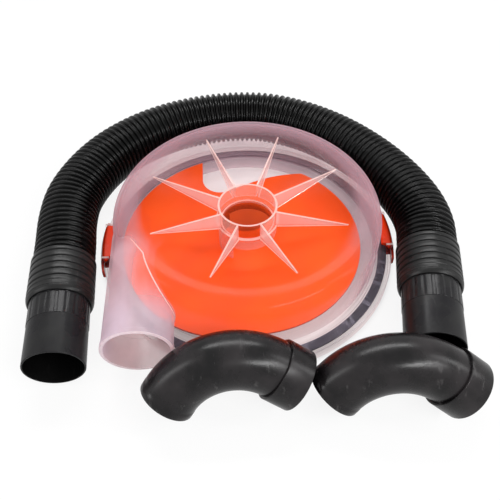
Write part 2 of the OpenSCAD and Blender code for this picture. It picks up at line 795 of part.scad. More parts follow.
module elbow() {
    bevel = 0.6;
    color([0.14, 0.14, 0.15]) {
        rotate([0, 0, 45]) rotate_extrude(angle = 90) translate([bend_r, 0]) difference() {
            circle(r = elbow_r);
            circle(r = elbow_bore_r);
        }
        at_large_end() rotate_extrude() translate([elbow_bore_r, 0]) square([elbow_wall, spigot_len]);
        at_small_end() rotate_extrude() polygon([
            [elbow_bore_r, 0], [small_end_r, 0], [small_end_r, small_end_len - bevel],
            [small_end_r - bevel, small_end_len], [elbow_bore_r, small_end_len]
        ]);
    }
}

// Cuff glued over the bend's spigot, with the socket for another small end
module elbow_cuff() {
    edge = 0.8;
    seat_r = elbow_r + glue_gap;
    seat_end = spigot_len + glue_gap;
    color([0.15, 0.15, 0.16]) at_large_end() rotate_extrude() polygon([
        [seat_r, 0], [cuff_r - edge, 0], [cuff_r, edge], [cuff_r, cuff_len - edge],
        [cuff_r - edge, cuff_len], [socket_r, cuff_len], [socket_r, seat_end], [seat_r, seat_end]
    ]);
}

module place_elbow(apex, pose) {
    translate(apex) rotate(pose) translate([0, -bend_r, 0]) children();
}

// ---- Sub-parts ----

module latch_pin_left() {
    rotate([0, 0, 180]) latch_pin();
}

module latch_pin_right() {
    latch_pin();
}

module latch_left() {
    rotate([0, 0, 180]) latch();
}

module latch_right() {
    latch();
}

module collar_left() {
    at_end(left_end, left_turn) collar();
}

module collar_right() {
    at_end(right_end, right_turn) collar();
}

module nozzle_left() {
    at_end(left_end, left_turn) nozzle();
}

module nozzle_right() {
    at_end(right_end, right_turn) nozzle();
}

module elbow_left() {
    place_elbow(left_apex, left_pose) elbow();
}

module elbow_right() {
    place_elbow(right_apex, right_pose) elbow();
}

module elbow_cuff_left() {
    place_elbow(left_apex, left_pose) elbow_cuff();
}

module elbow_cuff_right() {
    place_elbow(right_apex, right_pose) elbow_cuff();
}

shell_wall();
shell_shoulder();
inlet_wall();
shell_dish();
hub_gussets();
outlet_hub();
inlet_tube();
base_ring();
rim_skirt();
rim_rail();
latch_ears();
rim_gasket();
baffle();
latch_pin_left();
latch_pin_right();
latch_left();
latch_right();
hose();
collar_left();
collar_right();
nozzle_left();
nozzle_right();
elbow_left();
elbow_right();
elbow_cuff_left();
elbow_cuff_right();
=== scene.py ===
"""Looks of the dust separator kit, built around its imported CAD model. Lengths are in millimetres
up to the point where a mesh is made, and in metres from there on."""

import json
import math

import bmesh
import bpy
from mathutils import Matrix, Vector
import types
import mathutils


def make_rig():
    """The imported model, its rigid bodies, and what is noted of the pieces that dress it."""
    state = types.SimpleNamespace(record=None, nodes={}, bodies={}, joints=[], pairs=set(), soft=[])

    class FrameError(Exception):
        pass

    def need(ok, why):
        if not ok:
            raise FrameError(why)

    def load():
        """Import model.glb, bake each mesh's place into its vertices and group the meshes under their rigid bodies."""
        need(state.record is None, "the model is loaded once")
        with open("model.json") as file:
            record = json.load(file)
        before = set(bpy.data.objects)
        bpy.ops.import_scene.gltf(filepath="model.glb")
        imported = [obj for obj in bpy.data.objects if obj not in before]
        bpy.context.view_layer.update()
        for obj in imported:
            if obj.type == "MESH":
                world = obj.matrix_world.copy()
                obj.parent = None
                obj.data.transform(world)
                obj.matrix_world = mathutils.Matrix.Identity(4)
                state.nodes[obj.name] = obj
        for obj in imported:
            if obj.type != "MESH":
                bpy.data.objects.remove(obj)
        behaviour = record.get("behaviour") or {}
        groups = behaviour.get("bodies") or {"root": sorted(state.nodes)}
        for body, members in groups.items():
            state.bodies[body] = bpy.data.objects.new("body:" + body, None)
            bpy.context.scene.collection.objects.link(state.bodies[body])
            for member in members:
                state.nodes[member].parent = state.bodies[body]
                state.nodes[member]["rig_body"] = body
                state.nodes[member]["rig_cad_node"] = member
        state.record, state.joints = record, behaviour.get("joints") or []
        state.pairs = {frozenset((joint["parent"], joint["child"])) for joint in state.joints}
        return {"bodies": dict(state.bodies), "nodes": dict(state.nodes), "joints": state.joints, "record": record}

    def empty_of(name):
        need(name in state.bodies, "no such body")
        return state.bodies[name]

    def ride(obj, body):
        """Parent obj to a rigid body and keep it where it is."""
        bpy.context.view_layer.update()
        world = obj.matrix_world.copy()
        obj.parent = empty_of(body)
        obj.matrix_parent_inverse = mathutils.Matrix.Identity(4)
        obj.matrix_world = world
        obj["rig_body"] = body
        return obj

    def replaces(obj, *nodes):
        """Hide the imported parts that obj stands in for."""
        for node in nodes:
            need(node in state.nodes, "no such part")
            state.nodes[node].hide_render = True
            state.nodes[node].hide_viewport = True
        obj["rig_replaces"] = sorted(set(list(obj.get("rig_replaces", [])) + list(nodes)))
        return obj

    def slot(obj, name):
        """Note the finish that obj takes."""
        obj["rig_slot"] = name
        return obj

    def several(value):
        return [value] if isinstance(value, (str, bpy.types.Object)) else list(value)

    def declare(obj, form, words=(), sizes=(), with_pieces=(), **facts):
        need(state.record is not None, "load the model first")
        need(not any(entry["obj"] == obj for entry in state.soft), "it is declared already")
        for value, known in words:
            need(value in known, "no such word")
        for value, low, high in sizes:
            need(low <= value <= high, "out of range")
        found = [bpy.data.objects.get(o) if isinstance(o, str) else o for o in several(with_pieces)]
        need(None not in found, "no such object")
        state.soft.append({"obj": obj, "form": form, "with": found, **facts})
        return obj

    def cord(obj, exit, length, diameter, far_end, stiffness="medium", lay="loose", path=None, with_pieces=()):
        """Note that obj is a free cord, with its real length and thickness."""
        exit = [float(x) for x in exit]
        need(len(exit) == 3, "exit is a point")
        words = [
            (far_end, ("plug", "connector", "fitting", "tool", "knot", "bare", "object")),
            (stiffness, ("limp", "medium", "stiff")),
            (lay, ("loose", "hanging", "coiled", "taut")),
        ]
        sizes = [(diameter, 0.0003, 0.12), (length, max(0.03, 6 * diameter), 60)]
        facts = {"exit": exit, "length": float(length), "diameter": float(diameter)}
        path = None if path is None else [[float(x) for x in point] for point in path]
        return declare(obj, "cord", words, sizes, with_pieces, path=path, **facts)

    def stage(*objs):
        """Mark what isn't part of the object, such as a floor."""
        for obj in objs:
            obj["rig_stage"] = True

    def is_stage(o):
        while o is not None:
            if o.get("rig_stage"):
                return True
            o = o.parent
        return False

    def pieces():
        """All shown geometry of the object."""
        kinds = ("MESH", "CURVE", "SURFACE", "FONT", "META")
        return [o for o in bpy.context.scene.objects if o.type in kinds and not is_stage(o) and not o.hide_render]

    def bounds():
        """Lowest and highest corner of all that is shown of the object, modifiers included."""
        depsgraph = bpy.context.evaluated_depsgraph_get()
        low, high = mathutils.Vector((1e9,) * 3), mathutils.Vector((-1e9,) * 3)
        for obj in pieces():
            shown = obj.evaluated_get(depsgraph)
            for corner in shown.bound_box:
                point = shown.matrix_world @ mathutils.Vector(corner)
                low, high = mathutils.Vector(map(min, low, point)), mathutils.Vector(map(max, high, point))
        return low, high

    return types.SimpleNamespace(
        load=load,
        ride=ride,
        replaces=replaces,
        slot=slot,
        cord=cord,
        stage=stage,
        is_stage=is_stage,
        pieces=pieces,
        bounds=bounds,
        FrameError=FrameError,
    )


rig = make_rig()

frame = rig.load()
cad_low, cad_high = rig.bounds()
scene = bpy.context.scene
MM = 0.001


# ---- Camera ----

def make_camera():
    data = bpy.data.cameras.new("camera")
    data.lens = 42.32
    data.sensor_width = 36
    camera = bpy.data.objects.new("camera", data)
    scene.collection.objects.link(camera)
    turn = Matrix.Rotation(math.radians(-3.72), 4, "Z")
    tilt = Matrix.Rotation(math.radians(40.15), 4, "X")
    roll = Matrix.Rotation(math.radians(0.17), 4, "Z")
    camera.matrix_world = Matrix.Translation((-0.0254, -0.4325, 0.5074)) @ turn @ tilt @ roll
    scene.camera = camera


make_camera()


# ---- Mesh helpers ----

def add_mesh(name, verts, faces):
    """A mesh object from points in millimetres, with its normals turned outwards."""
    mesh = bpy.data.meshes.new(name)
    mesh.from_pydata([Vector(v) * MM for v in verts], [], faces)
    bm = bmesh.new()
    bm.from_mesh(mesh)
    bmesh.ops.recalc_face_normals(bm, faces=bm.faces)
    bm.to_mesh(mesh)
    bm.free()
    obj = bpy.data.objects.new(name, mesh)
    scene.collection.objects.link(obj)
    return obj


def ringed(name, rings, wrap=True, caps=False):
    """A mesh of closed rings, each joined to the next. wrap joins the last to the first."""
    count = len(rings[0])
    faces = []
    for i in range(len(rings) if wrap else len(rings) - 1):
        j = (i + 1) % len(rings)
        for k in range(count):
            n = (k + 1) % count
            faces.append((i * count + k, i * count + n, j * count + n, j * count + k))
    if caps:
        faces.append(tuple(range(count)))
        faces.append(tuple((len(rings) - 1) * count + k for k in range(count)))
    return add_mesh(name, [p for ring in rings for p in ring], faces)


def rounded(corners, steps=4):
    """A closed outline from corners (x, y) or (x, y, radius), the latter rounded."""
    out = []
    for i, corner in enumerate(corners):
        here = Vector(corner[:2])
        if len(corner) == 2:
            out.append(tuple(here))
            continue
        before = Vector(corners[i - 1][:2]) - here
        after = Vector(corners[(i + 1) % len(corners)][:2]) - here
        half = before.angle(after) / 2
        back = min(corner[2] / math.tan(half), 0.49 * before.length, 0.49 * after.length)
        radius = back * math.tan(half)
        centre = here + (before.normalized() + after.normalized()).normalized() * (
            radius / math.sin(half)
        )
        first = here + before.normalized() * back - centre
        last = here + after.normalized() * back - centre
        sweep = first.angle_signed(last)
        for k in range(steps + 1):
            spin = Matrix.Rotation(-sweep * k / steps, 2)
            out.append(tuple(centre + spin @ first))
    return out


def turned(name, outline, segments=96, place=None, shape=None):
    """A closed outline of (radius, height) turned about Z, and then put in its place. shape, where
    it is given, says how far a point (angle, radius, height) moves outwards."""
    place = place or Matrix.Identity(4)
    rings = []
    for r, z in outline:
        ring = []
        for k in range(segments):
            a = 2 * math.pi * k / segments
            out = r + (shape(a, r, z) if shape else 0)
            ring.append(place @ Vector((out * math.cos(a), out * math.sin(a), z)))
        rings.append(ring)
    return ringed(name, rings)


def smooth(obj, angle=32):
    """Shades the mesh smooth, apart from edges sharper than the angle."""
    mesh = obj.data
    mesh.polygons.foreach_set("use_smooth", [True] * len(mesh.polygons))
    mesh.set_sharp_from_angle(angle=math.radians(angle))
    return obj


def boolean(obj, other, operation):
    """Applies a union or difference with the other object, which is then removed."""
    modifier = obj.modifiers.new("cut", "BOOLEAN")
    modifier.solver = "EXACT"
    modifier.operation = operation
    modifier.object = other
    depsgraph = bpy.context.evaluated_depsgraph_get()
    made = bpy.data.meshes.new_from_object(obj.evaluated_get(depsgraph))
    obj.modifiers.clear()
    obj.data = made
    bpy.data.objects.remove(other)
    return obj


def join(objs):
    """One object from several, whose meshes keep apart."""
    bm = bmesh.new()
    for obj in objs:
        bm.from_mesh(obj.data)
    first = objs[0]
    bm.to_mesh(first.data)
    bm.free()
    for obj in objs[1:]:
        bpy.data.objects.remove(obj)
    return first


def darken_inside(obj, place, radius):
    """Gives the second material, whose darker black is a painted shade, to the faces nearer than
    radius to the piece's own Z axis.
    """
    back = place.inverted()
    for face in obj.data.polygons:
        c = back @ (face.center / MM)
        if math.hypot(c.x, c.y) < radius:
            face.material_index = 1


def finish_piece(obj, body, slot, materials, nodes=()):
    """Gives a piece its body, its record slot, its materials and the nodes it stands for."""
    for material in materials:
        obj.data.materials.append(material)
    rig.ride(obj, body)
    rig.slot(obj, slot)
    if nodes:
        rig.replaces(obj, *nodes)
    return obj


# ---- Material helpers ----

class Nodes:
    """Short calls that make nodes in one material's tree."""

    def __init__(self, name):
        self.material = bpy.data.materials.new(name)
        self.material.use_nodes = True
        self.tree = self.material.node_tree
        self.tree.nodes.clear()
        self.out = self.tree.nodes.new("ShaderNodeOutputMaterial")
        self.place = self.add("ShaderNodeTexCoord").outputs["Object"]

    def add(self, kind, **values):
        node = self.tree.nodes.new(kind)
        for key, value in values.items():
            key = key.replace("__", " ")
            if key in node.inputs:
                self.feed(node.inputs[key], value)
            else:
                setattr(node, key, value)
        return node

    def feed(self, socket, value):
        if isinstance(value, bpy.types.NodeSocket):
            self.tree.links.new(value, socket)
        else:
            socket.default_value = value

    def noise(self, scale, detail=3.0, rough=0.5, stretch=None):
        place = self.place
        if stretch:
            place = self.add("ShaderNodeMapping", Vector=place, Scale=stretch).outputs[0]
        return self.add(
            "ShaderNodeTexNoise", Vector=place, Scale=scale, Detail=detail, Roughness=rough
        ).outputs["Fac"]

    def ramp(self, fac, stops):
        """A colour ramp of (place, value or colour) stops."""
        node = self.add("ShaderNodeValToRGB", Fac=fac)
        ramp = node.color_ramp
        while len(ramp.elements) < len(stops):
            ramp.elements.new(0.5)
        for element, (at, value) in zip(ramp.elements, stops):
            element.position = at
            colour = value if isinstance(value, tuple) else (value,) * 3
            element.color = (*colour, 1)
        return node.outputs["Color"]

    def spread(self, value, low, high, start=0.0, end=1.0):
        """Runs smoothly from start, where value is low, to end, where it is high."""
        node = self.add("ShaderNodeMapRange", interpolation_type="SMOOTHSTEP", Value=value)
        for name, number in (
            ("From Min", low), ("From Max", high), ("To Min", start), ("To Max", end),
        ):
            node.inputs[name].default_value = number
        return node.outputs[0]

    def math(self, kind, a, b=0.0, clamp=False):
        node = self.tree.nodes.new("ShaderNodeMath")
        node.operation = kind
        node.use_clamp = clamp
        self.feed(node.inputs[0], a)
        self.feed(node.inputs[1], b)
        return node.outputs[0]

    def slant(self):
        """0 where a face looks at the eye, and 1 where it is seen edge-on."""
        return self.add("ShaderNodeLayerWeight", Blend=0.5).outputs["Facing"]

    def millimetres(self, axes):
        """The place's coordinates along some axes, in millimetres."""
        parts = self.add("ShaderNodeSeparateXYZ", Vector=self.place).outputs
        return [self.math("MULTIPLY", parts[axis], 1 / MM) for axis in axes]

    def length(self, a, b):
        """The length of the vector (a, b)."""
        squares = [self.math("MULTIPLY", v, v) for v in (a, b)]
        return self.math("SQRT", self.math("ADD", *squares))

    def mix(self, fac, a, b):
        """A mix of two colours, each a socket or a colour."""
        node = self.tree.nodes.new("ShaderNodeMix")
        node.data_type = "RGBA"
        self.feed(node.inputs[0], fac)
        self.feed(node.inputs[6], a if isinstance(a, bpy.types.NodeSocket) else (*a, 1))
        self.feed(node.inputs[7], b if isinstance(b, bpy.types.NodeSocket) else (*b, 1))
        return node.outputs[2]

    def bump(self, height, distance, strength=1.0):
        return self.add(
            "ShaderNodeBump", Height=height, Distance=distance, Strength=strength
        ).outputs[0]

    def blend(self, fac, a, b):
        """A mix of two shaders."""
        node = self.add("ShaderNodeMixShader", Fac=fac)
        self.tree.links.new(a, node.inputs[1])
        self.tree.links.new(b, node.inputs[2])
        return node.outputs[0]

    def shader(self, **values):
        return self.add("ShaderNodeBsdfPrincipled", **values).outputs[0]

    def done(self, shader):
        self.tree.links.new(shader, self.out.inputs["Surface"])
        return self.material


# The black plastics' grain, and the dust in their scuffs
GRAIN = 0.0001
DUST = (0.1, 0.095, 0.095)

# The inlet's axis, which the head's milkiness follows too
INLET_X = -109.4
INLET_Z = 42.9
# The head's milkiness: on the wall's far side, where it starts, where it is whole, and between
# which distances out it ends again
WALL_HAZE = 0.28
MILK_START, MILK_WHOLE = 107, 121
BARE_START, BARE_WHOLE = 147, 151
# Between which distances from the inlet's axis its tube lies, with a soft edge to each
TUBE_IN, TUBE_OUT, TUBE_EDGE = 28.6, 34.6, 0.8
INLET_FILM = (0.80, 0.69, 0.77)
INLET_FLOOR = (0.60, 0.45, 0.46)

# The painted shade on the baffle: how far behind the axis the tube's and the hub's lie, their
# radii and their soft edge
TUBE_SHADE_Y, TUBE_SHADE_R = 26, 28
HUB_SHADE_Y, HUB_SHADE_R = 45, 30
SHADE_EDGE = 3


def black_plastic(name, base, light, rough, scuff, shine):
    """Moulded black plastic: mottled tone, fine grain, faint scuffs, and less gloss towards its
    outline."""
    n = Nodes(name)
    mottle = n.noise(38, 4)
    speck = n.noise(900, 2)
    scratch = n.noise(120, 5, 0.65, (1.0, 0.18, 0.6))
    colour = n.mix(n.ramp(mottle, [(0.35, 0.0), (0.7, 1.0)]), base, light)
    worn = n.ramp(scratch, [(0.62, 0.0), (0.78, scuff)])
    colour = n.mix(worn, colour, DUST)
    roughness = n.ramp(mottle, [(0.3, rough - 0.05), (0.75, rough + 0.07)])
    roughness = n.math("ADD", roughness, n.math("MULTIPLY", worn, 0.4))
    height = n.math("ADD", n.math("MULTIPLY", speck, 0.35), n.math("MULTIPLY", scratch, 0.5))
    loss = n.math("MULTIPLY", n.math("POWER", n.slant(), 2), 0.85 * shine)
    return n.done(n.shader(
        Base__Color=colour, Roughness=roughness, Normal=n.bump(height, GRAIN),
        Specular__IOR__Level=n.math("SUBTRACT", shine, loss),
    ))


def head_haze(n, slant, veil, graze, colour):
    """What the place changes on the head: clear on the dish, milkier on the wall and the inlet,
    and nearly bare on the flange, the skirt and the ears. Takes and returns the film's share,
    its grazing gloss and its colour."""
    x, y, z = n.millimetres("XYZ")
    reach = n.length(x, y)
    milky = n.math("MULTIPLY", n.math("POWER", slant, 3), 0.7)
    milky = n.math("ADD", milky, n.spread(y, -100, 0, 0.03, WALL_HAZE))
    milky = n.math("MULTIPLY", milky, n.spread(y, -110, -50, 0.3, 1.0))
    milky = n.math("MULTIPLY", n.spread(reach, MILK_START, MILK_WHOLE), milky)
    bare = n.spread(reach, BARE_START, BARE_WHOLE, 1.0, 0.2)
    veil = n.math("MULTIPLY", n.math("ADD", veil, milky), bare)
    graze = n.math("MULTIPLY", graze, bare)

    off = n.length(n.math("SUBTRACT", x, INLET_X), n.math("SUBTRACT", z, INLET_Z))
    tube = n.math(
        "MULTIPLY", n.spread(off, TUBE_IN, TUBE_IN + TUBE_EDGE),
        n.spread(off, TUBE_OUT, TUBE_OUT - TUBE_EDGE),
    )
    tube = n.math("MULTIPLY", tube, n.spread(y, -30, -60))
    tube = n.math("MULTIPLY", tube, n.spread(x, -70, -74))
    thick = n.math("ADD", n.spread(y, -140, -85, 0.45, 0.08), n.spread(x, -105, -121, 0, 0.33))
    veil = n.math("ADD", veil, n.math("MULTIPLY", tube, thick))
    film = n.mix(n.spread(z, 15, 55), INLET_FLOOR, INLET_FILM)
    return veil, graze, n.mix(tube, colour, film)


def clear_plastic(name, film, haze, mirror, head=False):
    """Milky clear moulding: mostly see-through, with a thin gloss that grows towards a grazing
    look. haze is each face's own milkiness, and on the head it also follows the place."""
    n = Nodes(name)
    cloud = n.noise(26, 3)
    flow = n.noise(60, 4, 0.6, (1.0, 1.0, 0.25))
    speck = n.noise(700, 2)
    slant = n.slant()
    veil = n.math("ADD", n.math("MULTIPLY", n.math("POWER", slant, 8), 0.4), haze)
    graze = n.math("MULTIPLY", n.math("POWER", slant, 6), 0.25)
    dim = tuple(c * 0.93 for c in film)
    colour = n.mix(n.ramp(cloud, [(0.3, 0.0), (0.7, 1.0)]), film, dim)
    if head:
        veil, graze, colour = head_haze(n, slant, veil, graze, colour)
    veil = n.math("MULTIPLY", veil, n.ramp(cloud, [(0.3, 0.85), (0.75, 1.15)]), clamp=True)
    ripple = n.math("ADD", n.math("MULTIPLY", flow, 0.8), n.math("MULTIPLY", speck, 0.05))
    normal = n.bump(ripple, 0.00012)
    front = n.add("ShaderNodeBsdfDiffuse", Color=colour, Normal=normal).outputs[0]
    through = n.add("ShaderNodeBsdfTranslucent", Color=colour, Normal=normal).outputs[0]
    body = n.blend(0.5, front, through)
    tint = (0.985, 0.955, 0.955)
    deep = n.mix(n.math("POWER", slant, 3), tint, tuple(c**4 for c in tint))
    hole = n.add("ShaderNodeBsdfTransparent", Color=deep).outputs[0]
    shine = n.add(
        "ShaderNodeBsdfGlossy", Color=(1, 0.97, 0.97, 1),
        Roughness=n.ramp(cloud, [(0.3, 0.1), (0.8, 0.2)]), Normal=normal,
    ).outputs[0]
    gloss = n.math("ADD", graze, mirror, clamp=True)
    return n.done(n.blend(gloss, n.blend(veil, hole, body), shine))


def orange_plastic():
    """Orange plastic, with a painted shade where the hub and its tube keep the light from it."""
    n = Nodes("orange_plastic")
    cloud = n.noise(18, 3)
    speck = n.noise(800, 2)
    x, y = n.millimetres("XY")
    by_tube, by_hub = (
        n.spread(n.length(x, n.math("SUBTRACT", y, behind)), radius + SHADE_EDGE, radius)
        for behind, radius in ((TUBE_SHADE_Y, TUBE_SHADE_R), (HUB_SHADE_Y, HUB_SHADE_R))
    )
    # Painted shade: the colour is halved where the circles behind the tube and the hub overlap
    lit = n.math("SUBTRACT", 1, n.math("MULTIPLY", n.math("MULTIPLY", by_tube, by_hub), 0.5))
    mottle = n.ramp(cloud, [(0.3, 0.0), (0.72, 1.0)])
    colour = n.mix(mottle, (0.90, 0.080, 0.003), (0.97, 0.105, 0.006))
    colour = n.mix(lit, (0, 0, 0), colour)
    roughness = n.ramp(cloud, [(0.3, 0.36), (0.8, 0.5)])
    height = n.math("ADD", cloud, n.math("MULTIPLY", speck, 0.12))
    return n.done(n.shader(
        Base__Color=colour, Roughness=roughness, Specular__IOR__Level=0.08,
        Normal=n.bump(height, 0.0003),
    ))


def latch_plastic():
    """Glossy red-orange, with a painted shade towards the outside, where the clear ears don't light it."""
    n = Nodes("latch_plastic")
    cloud = n.noise(45, 3)
    parts = n.add("ShaderNodeSeparateXYZ", Vector=n.place)
    out = n.math("ABSOLUTE", parts.outputs["X"])
    deep = n.add(
        "ShaderNodeMapRange", Value=out, From__Min=0.1535, From__Max=0.1605
    ).outputs[0]
    # Painted shade: darker red from 153.5 mm to 160.5 mm out along X
    colour = n.mix(deep, (0.88, 0.04, 0.001), (0.24, 0.003, 0.001))
    colour = n.mix(n.ramp(cloud, [(0.35, 0.0), (0.7, 0.25)]), colour, (0.6, 0.02, 0.002))
    roughness = n.ramp(cloud, [(0.3, 0.2), (0.8, 0.34)])
    return n.done(n.shader(
        Base__Color=colour, Roughness=roughness, Normal=n.bump(cloud, 0.0003),
        Specular__IOR__Level=0.15,
    ))


def sponge():
    """Closed-cell sponge rubber: fine pores and a dull blue-grey tone."""
    n = Nodes("sponge")
    pores = n.add("ShaderNodeTexVoronoi", Vector=n.place, Scale=1100).outputs["Distance"]
    cloud = n.noise(60, 4)
    colour = n.mix(n.ramp(cloud, [(0.3, 0.0), (0.7, 1.0)]), (0.12, 0.13, 0.17), (0.17, 0.18, 0.22))
    # Painted shade in the pores: their cells are darkened towards a deep blue-grey
    colour = n.mix(n.ramp(pores, [(0.05, 0.45), (0.35, 0.0)]), colour, (0.05, 0.055, 0.07))
    return n.done(n.shader(
        Base__Color=colour, Roughness=n.ramp(cloud, [(0.3, 0.82), (0.8, 0.95)]),
        Normal=n.bump(pores, 0.0002),
    ))


def grey(*tones):
    """Each tone as a colour without a hue."""
    return [(tone,) * 3 for tone in tones]


# Film colour, milkiness and mirror gloss of each of the head's materials, which lie on it in
# this order
CLEAR = clear_plastic("clear_plastic", (0.61, 0.47, 0.545), 0.002, 0.002, head=True)
CLEAR_FIN = clear_plastic("clear_fin", (1.0, 0.80, 0.77), 0.32, 0.006)
# Painted highlight: a bright milky film for edges that look up and for the inlet's seam
CLEAR_EDGE_HIGHLIGHT = clear_plastic("clear_edge_highlight", (1.0, 0.84, 0.80), 0.85, 0.02)
CLEAR_HUB = clear_plastic("clear_hub", (1.0, 0.62, 0.54), 0.27, 0.006)
# Painted shade: a dark orange film on the far half of the outlet's tube below the stop
CLEAR_TUBE_PAINTED_SHADE = clear_plastic("clear_tube_painted_shade", (0.30, 0.03, 0.003), 0.42, 0.003)
# Painted highlight: a bright milky film on the skirt's rim and the inlet's mouth
CLEAR_RIM_HIGHLIGHT = clear_plastic("clear_rim_highlight", (1.0, 0.90, 0.93), 0.85, 0.02)
CLEARS = [CLEAR, CLEAR_FIN, CLEAR_EDGE_HIGHLIGHT, CLEAR_HUB, CLEAR_TUBE_PAINTED_SHADE, CLEAR_RIM_HIGHLIGHT]
PLAIN, FIN, EDGE_HIGHLIGHT, HUB, TUBE_PAINTED_SHADE, RIM_HIGHLIGHT = range(len(CLEARS))

ORANGE = orange_plastic()
LATCH = latch_plastic()
SPONGE = sponge()
HOSE = black_plastic("hose_plastic", *grey(0.001, 0.002), rough=0.2, scuff=0.06, shine=0.14)
# Painted shade: the darker, duller black inside the nozzles' bores
BORE_PAINTED_SHADE = black_plastic("black_bore_painted_shade", *grey(0.002, 0.003), rough=0.6, scuff=0.1, shine=0.06)
COLLAR = black_plastic("collar_rubber", *grey(0.008, 0.013), rough=0.32, scuff=0.3, shine=0.22)
NOZZLE = black_plastic(
    "nozzle_plastic", (0.009, 0.0085, 0.01), (0.016,) * 3, rough=0.28, scuff=0.3, shine=0.17
)
ELBOW = black_plastic(
    "elbow_plastic", (0.003, 0.0026, 0.003), (0.02, 0.017, 0.018), rough=0.27, scuff=0.8,
    shine=0.25,
)


# ---- Hose ----

# Outer radius of the head's skirt, from which the hose's route is measured
SKIRT_R = 159
HOSE_R = 31.2
RIB_D = 2.6
RIB_PITCH = 6.8
# The valleys between the ribs are cut this deep, so that they show
VALLEY_D = 3.1
HOSE_WALL = 1.6
TUCK_R = HOSE_R - RIB_D + 0.3
HOSE_TUCK = 38
HOSE_Z = 32.5
HOSE_SIDES = 64
BORE_RINGS = 120
STRAIGHT = 24.5
LEFT_END, LEFT_TURN = Vector((-SKIRT_R - 33.5, 118.5 - SKIRT_R)), 3.5
RIGHT_END, RIGHT_TURN = Vector((SKIRT_R + 28.5, 114.5 - SKIRT_R)), -11
# What the hose passes between its straight ends: distance out from the skirt, and direction
ROUTE_GAPS = [
    (38.5, 174.26), (42.6, 164.2), (43.4, 153.92), (43.4, 143.6), (42.1, 133.41), (40.4, 123.1),
    (38.7, 112.68), (37.3, 102.1), (36.6, 91.29), (35.7, 80.5), (32.2, 69.68), (28.6, 58.5),
    (26, 47.1), (25.3, 35.5), (27.1, 23.8), (30.7, 12.8), (34, 3.13),
]


def unit(degrees):
    """The direction of +Y, turned by an angle."""
    a = math.radians(degrees)
    return Vector((-math.sin(a), math.cos(a)))


def hermite(p, q, u, v, t):
    return (
        (2 * t**3 - 3 * t**2 + 1) * p + (t**3 - 2 * t**2 + t) * u
        + (3 * t**2 - 2 * t**3) * q + (t**3 - t**2) * v
    )


def hose_centreline():
    """Points of the hose's centreline, in millimetres, from its left end to its right end."""
    route = [
        (SKIRT_R + gap) * Vector((math.cos(math.radians(a)), math.sin(math.radians(a))))
        for gap, a in ROUTE_GAPS
    ]
    bent = [LEFT_END + STRAIGHT * unit(LEFT_TURN), *route, RIGHT_END + STRAIGHT * unit(RIGHT_TURN)]
    last = len(bent) - 1
    slopes = [(bent[1] - bent[0]).length * unit(LEFT_TURN)]
    slopes += [(bent[i + 1] - bent[i - 1]) / 2 for i in range(1, last)]
    slopes += [-(bent[last] - bent[last - 1]).length * unit(RIGHT_TURN)]
    line = [LEFT_END - HOSE_TUCK * unit(LEFT_TURN)]
    line += [
        hermite(bent[i], bent[i + 1], slopes[i], slopes[i + 1], k / 10)
        for i in range(last) for k in range(10)
    ]
    return line + [bent[last], RIGHT_END - HOSE_TUCK * unit(RIGHT_TURN)]


class Line:
    """A line of points in the plane, found again by the distance along it."""

    def __init__(self, points):
        self.points = points
        self.run = [0.0]
        for p, q in zip(points, points[1:]):
            self.run.append(self.run[-1] + (q - p).length)
        self.length = self.run[-1]

    def at(self, s):
        s = min(max(s, 0.0), self.length)
        i = 0
        while i < len(self.run) - 2 and self.run[i + 1] < s:
            i += 1
        t = (s - self.run[i]) / (self.run[i + 1] - self.run[i])
        return self.points[i].lerp(self.points[i + 1], t)

    def heading(self, s):
        return (self.at(s + 3) - self.at(s - 3)).normalized()


def make_hose():
    """The ribbed tube: round crests with narrow valleys, and a plain end inside each collar."""
    line = Line(hose_centreline())
    ribbed = line.length - 2 * HOSE_TUCK
    ribs = math.floor(ribbed / RIB_PITCH)
    core = HOSE_R - RIB_D
    # One rib: distance along it as a share of the pitch, and height as a share of its depth
    rib = [
        (0.0, 0.0), (0.13, 0.04), (0.22, 0.38), (0.29, 0.78), (0.38, 0.96), (0.5, 1.0),
        (0.62, 0.96), (0.71, 0.78), (0.78, 0.38), (0.87, 0.04),
    ]
    stations = [(0, TUCK_R), (HOSE_TUCK - 0.2, TUCK_R)]
    for i in range(ribs):
        stations += [
            (HOSE_TUCK + (i + share) * ribbed / ribs, HOSE_R - VALLEY_D * (1 - high))
            for share, high in rib
        ]
    stations += [(line.length - HOSE_TUCK, core), (line.length - HOSE_TUCK + 0.2, TUCK_R)]
    stations += [(line.length, TUCK_R)]
    inner = [
        (line.length * i / BORE_RINGS, core - HOSE_WALL) for i in range(BORE_RINGS, -1, -1)
    ]
    rings = []
    for s, r in stations + inner:
        p, d = line.at(s), line.heading(s)
        ring = []
        for k in range(HOSE_SIDES):
            a = 2 * math.pi * k / HOSE_SIDES
            ring.append(Vector((
                p.x + r * math.cos(a) * d.y, p.y - r * math.cos(a) * d.x, HOSE_Z + r * math.sin(a)
            )))
        rings.append(ring)
    hose = smooth(ringed("hose_tube", rings), 60)
    finish_piece(hose, "hose", "hose", [HOSE], ["hose"])
    path = [(p.x * MM, p.y * MM, HOSE_Z * MM) for p in line.points]
    return hose, path, line.length * MM


# ---- Cuffs on the hose's ends ----

COLLAR_R = 32.5
COLLAR_LEN = 54
NOZZLE_R = 28.6
NOZZLE_LEN = 67
NOZZLE_WALL = 1.7
CUFF_GAP = 0.4
RECESS_U = HOSE_TUCK + 1.3
FLANGE_U = RECESS_U + 0.3
FLANGE_END_U = FLANGE_U + 7
LIP_U = FLANGE_END_U + 0.3
ROOT_R = NOZZLE_R + 0.4
FLANGE_R = ROOT_R + 1.4
LIP_BORE_R = ROOT_R + CUFF_GAP
MOUTH_U = COLLAR_LEN + NOZZLE_LEN
